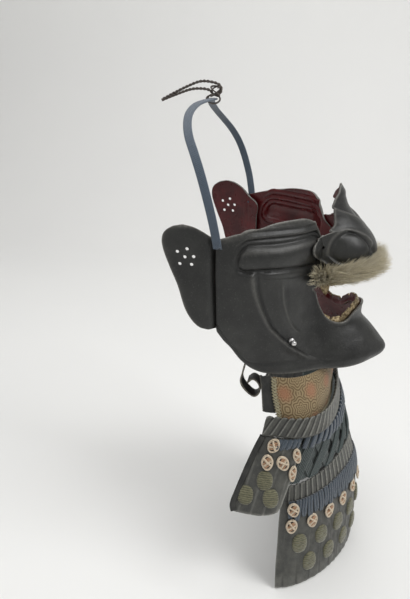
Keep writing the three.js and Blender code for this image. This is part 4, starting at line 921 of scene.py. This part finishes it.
def side_surface(rows=60, cols=61):
    z = np.linspace(-139.9, -192.5, rows)
    f = np.linspace(1, 0, cols)[None]
    zz = z[:, None] + 0 * f
    drawn_in = np.where(f > 0.5, ((f - 0.5) / 0.5) ** 2 * SIDE.curl(zz), ((0.5 - f) / 0.5) ** 2 * 1.2)
    y = SIDE.rear(zz) + (SIDE.front(zz) - SIDE.rear(zz)) * f
    return Surface(np.stack([-(SIDE.out(zz) - drawn_in), y, zz], -1)[:, ::-1], z)


panel_at = horseshoe(PANEL)
upper_at = horseshoe(UPPER)
hanging_at = horseshoe(HANGING, lambda down: RISE * down**1.5)
front_at = horseshoe(FRONT, lambda down: RISE * (1 - down) ** 1.5)
side_at = side_surface()


def flip(verts, faces):
    return verts * [-1, 1, 1], [f[::-1] for f in faces]


def pair(name, verts, faces, materials, uv=None, replaces=()):
    """A piece for the wearer's right side and its mirror image for the left."""
    piece(name + "_right", verts, faces, materials, uv=uv, replaces=[r + "_right" for r in replaces])
    verts, faces = flip(verts, faces)
    piece(name + "_left", verts, faces, materials, uv=uv, replaces=[r + "_left" for r in replaces])


def sheet_of(name, surface, z_rows, shares, thickness, materials, lift=0.0, wear=None, painted_shade=None, top=None, replaces=()):
    """A fine sheet over a surface; lift and wear are grids, top shifts the first rows' height."""
    zz, ss = np.meshgrid(z_rows, shares, indexing="ij")
    points, normal = surface.at(ss, zz, np.broadcast_to(lift, zz.shape))
    if top is not None:
        points[..., 2] += top
    uv = np.stack([ss * surface.length, z_rows[0] - zz], -1)
    return shell(name, points, thickness, materials, uv=uv, wear=wear, painted_shade=painted_shade, normals=normal, replaces=replaces)


def heads(run, height, lean):
    """Scale heads in a row: raised bars with a light leading edge. run and height in mm."""
    at = np.mod(run + lean * height, HEAD)
    bar = smooth(at, 0.5, 1.1) * (1 - smooth(at, HEAD - 1.5, HEAD - 0.7))
    edge = hill(at - 0.95, 0.42)
    return bar, edge, at


def make_panel():
    z, s = np.linspace(-99.6, -130, 50), np.linspace(0, 1, 200)
    zz, ss = np.meshgrid(z, s, indexing="ij")
    slack = 0.35 * np.sin(ss * 41 + zz * 0.13) * np.sin((zz + 99.6) / 30.4 * np.pi)
    obj = sheet_of("throat_panel_print", panel_at, z, s, 1.1, [PRINT, LEATHER], lift=slack, replaces=("throat_panel",))
    stitches = []
    t = np.linspace(0, 1, 9)
    for end, inner in ((0.0, 0.02), (1.0, 0.98)):
        for k in range(15):
            z0 = -100.2 - k * 2.02
            corner, out = panel_at.at(end, z0)
            inward = panel_at.at(inner, z0)[0] - corner
            inward /= np.linalg.norm(inward)
            for lean in (-1, 1):
                offset = 0.9 + lean * (t - 0.5) * 3.6
                path = corner + inward * offset[:, None] + out * (0.5 + 0.55 * np.sin(np.pi * t) * (1.0 if lean > 0 else 0.6))[:, None]
                path[:, 2] -= 2.6 * t
                stitches.append(tube(path, 0.62 - 0.12 * abs(2 * t - 1), 6, outward=np.tile(out, (len(t), 1))))
    t = np.linspace(0.02, 0.98, 260)
    path, out = panel_at.at(t, -129.4 + 0 * t, 0.6)
    stitches.append(tube(path, 0.75, 7, outward=out))
    verts, faces, uv = merge(stitches)
    piece("panel_stitches", verts, faces, [STITCH], uv=uv)
    return obj


def make_upper_lame():
    z, s = np.linspace(-124.5, -139, 30), np.linspace(0, 1, 560)
    zz, ss = np.meshgrid(z, s, indexing="ij")
    run = (0.5 - abs(ss - 0.5)) * upper_at.length
    bar, edge, at = heads(run, zz + 124.5, -0.42)
    lower = smooth(zz, -138.6, -137.2)
    lift = 0.85 * bar * lower
    arch = np.abs(at - HEAD / 2) / (HEAD / 2)
    top = -1.6 * arch**2 * hill(zz + 124.5, 2.2)
    worn = edge * 0.95 * lower + 0.5 * hill(zz + 124.7, 0.5) * bar
    # Painted shade in the gaps between the scale heads.
    gap_shade = np.clip(0.9 * hill(at - 0.1, 0.42) + 0.9 * hill(at - HEAD + 0.1, 0.42), 0, 0.9) * lower
    sheet_of("upper_lame_heads", upper_at, z, s, 1.3, [LAME, LEATHER], lift=lift, wear=np.clip(worn, 0, 1), painted_shade=gap_shade, top=top,
             replaces=("upper_lame",))
    parts = []
    count = int(0.86 * hanging_at.length / HEAD)
    for i in range(count):
        share = 0.07 + 0.86 * (i + 0.5) / count
        near = 1 if share < 0.5 else -1
        t = np.linspace(0, 1, 12)
        path, out = hanging_at.at(share - near * 0.022 * t, -139.7 - (11.5 + rng.uniform(-1, 1)) * t, 1.9 + 0.7 * np.sin(np.pi * t) ** 0.5)
        parts.append(tube(path, 1, 10, flat=(3.9, 1.9), outward=out))
    verts, faces, uv = merge(parts)
    piece("upper_laces", verts, faces, [BLUE], uv=uv)


def lace(surface, start, end, z_from, z_to, lift, width, strands, bow=0.0, sides=6, steps=12):
    """Strands side by side from one place on a surface to another."""
    parts = []
    t = np.linspace(0, 1, steps)
    for k in range(strands):
        shift = (k - (strands - 1) / 2) * width / strands / surface.length * 1.05
        share = start + (end - start) * t + shift
        z = z_from + (z_to - z_from) * t
        path, out = surface.at(share, z, lift + bow * np.sin(np.pi * t))
        parts.append(tube(path, width / strands / 2 * 1.08, sides, outward=out))
    return parts


def make_hanging():
    z, s = np.linspace(-139.5, -182.6, 24), np.linspace(0.05, 0.95, 120)
    sheet_of("hanging_lining", hanging_at, z, s, 0.5, [TEAL, TEAL], lift=-0.7, replaces=("hanging_lacing",))
    parts = []
    cells = 9
    for i in range(cells):
        a, b = 0.055 + 0.89 * i / cells, 0.055 + 0.89 * (i + 1) / cells
        parts += lace(hanging_at, a, b, -141.0, -182.2, 0.1, 8.2, 6, bow=0.4, steps=14, sides=5)
        parts += lace(hanging_at, b, a, -141.0, -182.2, 1.0, 8.2, 6, bow=0.7, steps=14, sides=5)
    verts, faces, uv = merge(parts)
    piece("hanging_laces", verts, faces, [TEAL], uv=uv)


def boss_parts(point, out, tall=15.0, wide=11.5, deep=2.6):
    up = np.array([0, 0, 1.0])
    x = np.cross(up, out)
    x /= np.linalg.norm(x)
    y = np.cross(out, x)
    rows, sides = 9, 28
    verts = []
    for i in range(rows):
        r = math.sin(i / (rows - 1) * math.pi / 2)
        h = deep * math.cos(i / (rows - 1) * math.pi / 2) ** 0.55 - 0.6
        for k in range(sides):
            a = 2 * math.pi * k / sides
            squash = 1 / (abs(math.cos(a)) ** 2.3 + abs(math.sin(a)) ** 2.3) ** (1 / 2.3)
            u, v = r * squash * math.cos(a) * wide / 2, r * squash * math.sin(a) * tall / 2
            rib = 0.22 * math.sin(v * 2.6 + 1.1 * math.sin(u * 0.9)) * (1 - r**6)
            verts.append(point + x * u + y * v + out * (h + rib))
    faces = [[i * sides + k, (i + 1) * sides + k, (i + 1) * sides + (k + 1) % sides, i * sides + (k + 1) % sides]
             for i in range(rows - 1) for k in range(sides)]
    verts = np.array(verts)
    uv = np.stack([(verts - point) @ y, (verts - point) @ x], 1)
    return verts, faces, uv


def knot_parts(point, out, spin, wide=9.6, tall=11.2):
    """A cross knot: an oval of thick cord round three strands that cross over its middle."""
    up = np.array([0, 0, 1.0])
    x = np.cross(up, out)
    x /= np.linalg.norm(x)
    y = np.cross(out, x)
    x, y = x * math.cos(spin) + y * math.sin(spin), y * math.cos(spin) - x * math.sin(spin)
    a = np.linspace(0, 2 * np.pi, 29)[:-1]
    place = lambda u, v, h: point + np.outer(u, x) + np.outer(v, y) + np.outer(h, out)
    skew = rng.uniform(-0.12, 0.12)
    u, v = (wide / 2 - 0.9) * np.sin(a), (tall / 2 - 0.9) * np.cos(a) * (1 + 0.1 * np.cos(2 * a))
    ring = place(u + skew * v, v, 0.95 + 0.3 * np.cos(2 * a + spin))
    pale = [tube(ring, 0.85 + 0.12 * np.cos(a), 8, closed=True, outward=np.tile(out, (len(a), 1)))]
    t = np.linspace(-1, 1, 11)
    warm = []
    for k, (lean, shift) in enumerate(((0.7, -2.5), (0.7, -0.9), (0.7, 0.9), (0.7, 2.5), (-0.9, 0.5))):
        reach = (wide / 2 - 1.4) * (1 - 0.06 * shift**2)
        u, v = reach * t * (1 if lean > 0 else -0.9), reach * t * abs(lean) + shift
        strand = tube(place(u + skew * v, v, 0.85 + 0.7 * (1 - t**2) + 0.5 * (k == 4)), 0.74, 7, outward=np.tile(out, (len(t), 1)))
        (pale if k in (1, 4) else warm).append(strand)
    return pale, warm


def make_front():
    z = np.concatenate([np.linspace(-183, -197, 26), np.linspace(-197, -269, 50)[1:]])
    s = np.linspace(0, 1, 520)
    zz, ss = np.meshgrid(z, s, indexing="ij")
    run = (0.5 - abs(ss - 0.5)) * front_at.length
    bar, edge, at = heads(run, zz + 183, 0.0)
    fade = smooth(zz, -197.5, -195.5)
    arch = np.abs(at - HEAD / 2) / (HEAD / 2)
    groove = hill(np.mod(run, 2 * HEAD) - HEAD, 0.8)
    low = smooth(-zz, 214, 226)
    bottom = smooth(-zz, 258, 262)
    lift = 0.8 * bar * fade - 0.35 * groove * low * (0.6 + 0.4 * bottom) + 0.3 * bottom
    lift += 0.25 * np.sin(run * 0.9 + zz * 0.21) * np.sin(zz * 0.37 + run * 0.13) * low
    top = -1.7 * arch**2 * hill(zz + 183, 2.2)
    # Painted shade in the gaps between the scale heads and in the grooves near the bottom edge.
    gap_shade = np.clip(0.9 * hill(at - 0.1, 0.42) + 0.9 * hill(at - HEAD + 0.1, 0.42), 0, 0.9) * fade + 0.5 * groove * bottom
    worn = edge * fade + 0.35 * hill(zz + 183.2, 0.6) * bar + 0.5 * hill(zz + 268.8, 0.7) + 0.15 * bottom
    worn += 0.3 * hill(np.minimum(ss, 1 - ss) * front_at.length, 0.9)
    sheet_of("front_lame_scales", front_at, z, s, 1.4, [LAME, LEATHER], lift=lift, wear=np.clip(worn, 0, 1), painted_shade=np.clip(gap_shade, 0, 0.9), top=top,
             replaces=("front_lame",))
    bosses = []
    for level, count, start in ((-233, 9, 0.09), (-252, 8, 0.14)):
        for f in np.linspace(start, 1 - start, count):
            point, out = front_at.at(f, level)
            bosses.append(boss_parts(point, out, tall=15.6 + rng.uniform(-1, 0.8), wide=12.4))
    verts, faces, uv = merge(bosses)
    piece("front_bosses", verts, faces, [BOSS], uv=uv)
    laces = []
    count = int(0.94 * front_at.length / HEAD)
    for i in range(count):
        f = 0.03 + 0.94 * (i + 0.5) / count
        end = -209.5 - 2.2 * (i % 2) + rng.uniform(-0.5, 0.5)
        t = np.linspace(0, 1, 16)
        for k in (-1, 1):
            bend = np.sin(np.pi * t * 1.5 + i) * 0.35
            share = f + (k * 1.2 * (1 - 0.45 * smooth(t, 0.7, 1)) + bend) / front_at.length
            path, out = front_at.at(share, -195.4 + (end + 195.4) * t, 0.8 + 0.75 * np.sin(np.pi * t) ** 0.5 + 0.2 * (k > 0))
            laces.append(tube(path, 1, 10, flat=(2.2 - 0.7 * smooth(t, 0.8, 1), 1.6), outward=out))
    verts, faces, uv = merge(laces)
    piece("front_laces", verts, faces, [BLUE], uv=uv, replaces=("front_lacing",))


def make_side():
    z, s = np.linspace(-139.9, -192.5, 64), np.linspace(0, 1, 60)
    zz, ss = np.meshgrid(z, s, indexing="ij")
    y = side_at.at(ss, zz)[0][..., 1]
    groove = hill(np.mod(y + 0.25 * zz, 9.0) - 4.5, 0.7)
    lift = -0.4 * groove * smooth(-zz, 160, 168) + 0.3 * np.sin(y * 0.9 + zz * 0.4) * np.sin(zz * 0.31)
    worn = 0.7 * hill(ss * 26, 0.8) + 0.8 * hill((1 - ss) * 26, 0.8) + 0.7 * hill(zz + 192.5, 0.8) + 0.25 * groove
    points, normal = side_at.at(ss, zz, lift)
    normal[normal[..., 0] > 0] *= -1
    uv = np.stack([ss * side_at.length, -139.9 - zz], -1)
    for side, name in ((-1, "right"), (1, "left")):
        flipped = points * [1 if side < 0 else -1, 1, 1], normal * [1 if side < 0 else -1, 1, 1]
        order = slice(None) if side < 0 else slice(None, None, -1)
        shell("side_lame_scales_" + name, flipped[0][:, order], 1.4, [LAME, LEATHER], uv=uv[:, order],
              wear=np.clip(worn, 0, 1)[:, order], normals=flipped[1][:, order], replaces=("side_lame_" + name,))
    border = []
    t = np.linspace(0, 1, 60)
    path, out = side_at.at(0.02 + 0 * t, -140.2 - 51.6 * t, 0.5)
    border.append(tube(path, 1, 12, flat=(4.4, 2.6), outward=out * [1, 1, 1]))
    verts, faces, uv = merge(border)
    pair("side_border", verts, faces, [LEATHER], uv=uv)
    laces = []
    for i, f in enumerate((0.60, 0.74, 0.87, 0.985)):
        for k in (-1, 1):
            t = np.linspace(0, 1, 10)
            path, out = side_at.at(f - 0.07 * t + k * 0.045, -140.3 - (7.4 - 0.6 * i) * t, 0.9 + 0.7 * np.sin(np.pi * t) ** 0.5)
            laces.append(tube(path, 1, 8, flat=(2.6, 1.6), outward=out))
    verts, faces, uv = merge(laces)
    pair("side_laces", verts, faces, [BLUE], uv=uv, replaces=("side_lacing",))
    bosses = [boss_parts(*side_at.at(f, level), tall=14) for f, level in ((0.46, -169.5), (0.2, -180.5), (0.72, -181))]
    verts, faces, uv = merge(bosses)
    pair("side_bosses", verts, faces, [BOSS], uv=uv)


def make_knots():
    pale, warm, names = [], [], []
    for i, f in enumerate(np.linspace(0.05, 0.95, 11)):
        point, out = front_at.at(f, -216.0, 0.5)
        ring, middle = knot_parts(point, out, rng.uniform(-0.25, 0.25))
        pale, warm = pale + ring, warm + middle
        names.append(f"front_knot_{i + 1}")
    for i, f in enumerate((0.05, 0.95)):
        point, out = front_at.at(f, -201.5, 2.2)
        ring, middle = knot_parts(point, out, 0.1 - 0.2 * i)
        pale, warm = pale + ring, warm + middle
        names.append(f"end_knot_{i + 1}")
    for i, (f, level) in enumerate(((0.4, -145.4), (0.38, -157.4), (0.7, -157), (0.97, -153), (0.95, -166))):
        point, out = side_at.at(f, level, 0.5)
        ring, middle = knot_parts(point, out, (-0.5, 0.2, 0.35, 0.1, -0.2)[i], wide=9.0 - 2.4 * (i > 2), tall=10.8 + 0.8 * (i > 2))
        for group, made in ((pale, ring), (warm, middle)):
            for v, faces, uv in made:
                group.append((v, faces, uv))
                other, turned = flip(v, faces)
                group.append((other, turned, uv))
        names += [f"side_knot_{i + 1}_right", f"side_knot_{i + 1}_left"]
    verts, faces, uv = merge(pale + warm)
    first = sum(len(f) for _, f, _ in pale)
    piece("cross_knots", verts, faces, [PALE, ORANGE], [0] * first + [1] * (len(faces) - first), uv, replaces=names)


def make_edging():
    levels = np.linspace(-99.6, -124.1, 40)
    f = np.linspace(1, 0, 26)
    table = Table("z out rear front", [(-99.6, 54, -27, -36), (-110, 56.5, -29, -37.5), (-124.1, 61.5, -31, -41)])
    zz, ff = np.meshgrid(levels, f, indexing="ij")
    x = -table.out(zz) - 0.6 * np.sin(np.pi * ff)
    y = table.rear(zz) + (table.front(zz) - table.rear(zz)) * ff
    points = np.stack([x, y, zz], -1)[:, ::-1]
    edge = np.minimum(ff, 1 - ff)[:, ::-1] * 9.5
    points[..., 0] += 0.5 * hill(edge, 0.5) - 0.12 * np.sin(zz * 1.7) * np.sin(y * 2.1)
    worn = np.clip(0.8 * hill(edge, 0.7), 0, 1)
    for side, name in ((-1, "right"), (1, "left")):
        order = slice(None) if side < 0 else slice(None, None, -1)
        shell("edging_strip_" + name, (points * [-side, 1, 1])[:, order], 1.5, [LEATHER, LEATHER], wear=worn[:, order],
              replaces=("edging_" + name,))
    line = catmull([(0, y, z) for y, z in ((-17.1, -91), (-15.1, -100), (-13.9, -107.5), (-17.1, -113.5), (-23.1, -118), (-26.7, -114),
                                           (-26.1, -108.5), (-22.3, -105.3), (-18.7, -108.1))], 90)
    across = np.linspace(0, 1, 16)
    t = np.linspace(0, 1, 90)[:, None]
    x = -51.6 + 10 * across[None] + 0.4 * np.sin(t * 19) * (across[None] - 0.5)
    grid = np.stack([x, np.tile(line[:, 1:2], (1, 16)), np.tile(line[:, 2:], (1, 16))], -1)
    edge = np.minimum(across, 1 - across)[None] * 10 + 0 * t
    shell("edging_roll", grid, 1.1, [LEATHER, LEATHER], wear=np.clip(0.8 * hill(edge, 0.7), 0, 1), replaces=("edging_curl",))


STITCH = cord_look("stitch_braid", (0.10, 0.095, 0.05), (0.42, 0.37, 0.23), period=0.9)
make_moustache()
make_panel()
make_upper_lame()
make_hanging()
make_front()
make_side()
make_knots()
make_edging()


# ------------------------------------------------------------------ floor and light
def floor_and_light():
    look = Look("studio_floor", rough=0.75, specular=0.2)
    look.done(look.mix(look.noise(3, 2), (0.80, 0.80, 0.79), (0.84, 0.84, 0.825)))
    # floor and backdrop in one sweep behind the guard
    rows = [(-1.2, -0.2705), (0.7, -0.2705)] + [
        (0.7 + 0.5 * math.sin(a), -0.2705 + 0.5 * (1 - math.cos(a))) for a in np.linspace(0.1, math.pi / 2, 14)] + [(1.2, 1.6)]
    verts = [(x, y, z) for x, z in rows for y in (-2.2, 2.2)]
    faces = [(2 * i, 2 * i + 1, 2 * i + 3, 2 * i + 2) for i in range(len(rows) - 1)]
    mesh = bpy.data.meshes.new("floor")
    mesh.from_pydata(verts, [], faces)
    mesh.materials.append(look.material)
    mesh.polygons.foreach_set("use_smooth", [True] * len(mesh.polygons))
    floor = bpy.data.objects.new("floor", mesh)
    bpy.context.scene.collection.objects.link(floor)
    for name, place, size, power in (("key", (-0.35, -1.05, 0.95), 0.8, 13), ("fill", (-1.2, 0.6, 0.5), 1.2, 3), ("top", (0.1, 0.1, 1.2), 1.1, 9)):
        light = bpy.data.lights.new(name, "AREA")
        light.shape, light.size, light.energy = "SQUARE", size, power
        lamp = bpy.data.objects.new(name, light)
        lamp.location = place
        lamp.rotation_euler = (Vector((0, -0.03, -0.1)) - Vector(place)).to_track_quat("-Z", "Y").to_euler()
        bpy.context.scene.collection.objects.link(lamp)
    world = bpy.data.worlds.new("studio")
    world.use_nodes = True
    background = world.node_tree.nodes["Background"]
    background.inputs["Color"].default_value = (1.0, 0.99, 0.975, 1)
    background.inputs["Strength"].default_value = 0.36
    bpy.context.scene.world = world
    bpy.context.scene.view_settings.view_transform = "Standard"


floor_and_light()
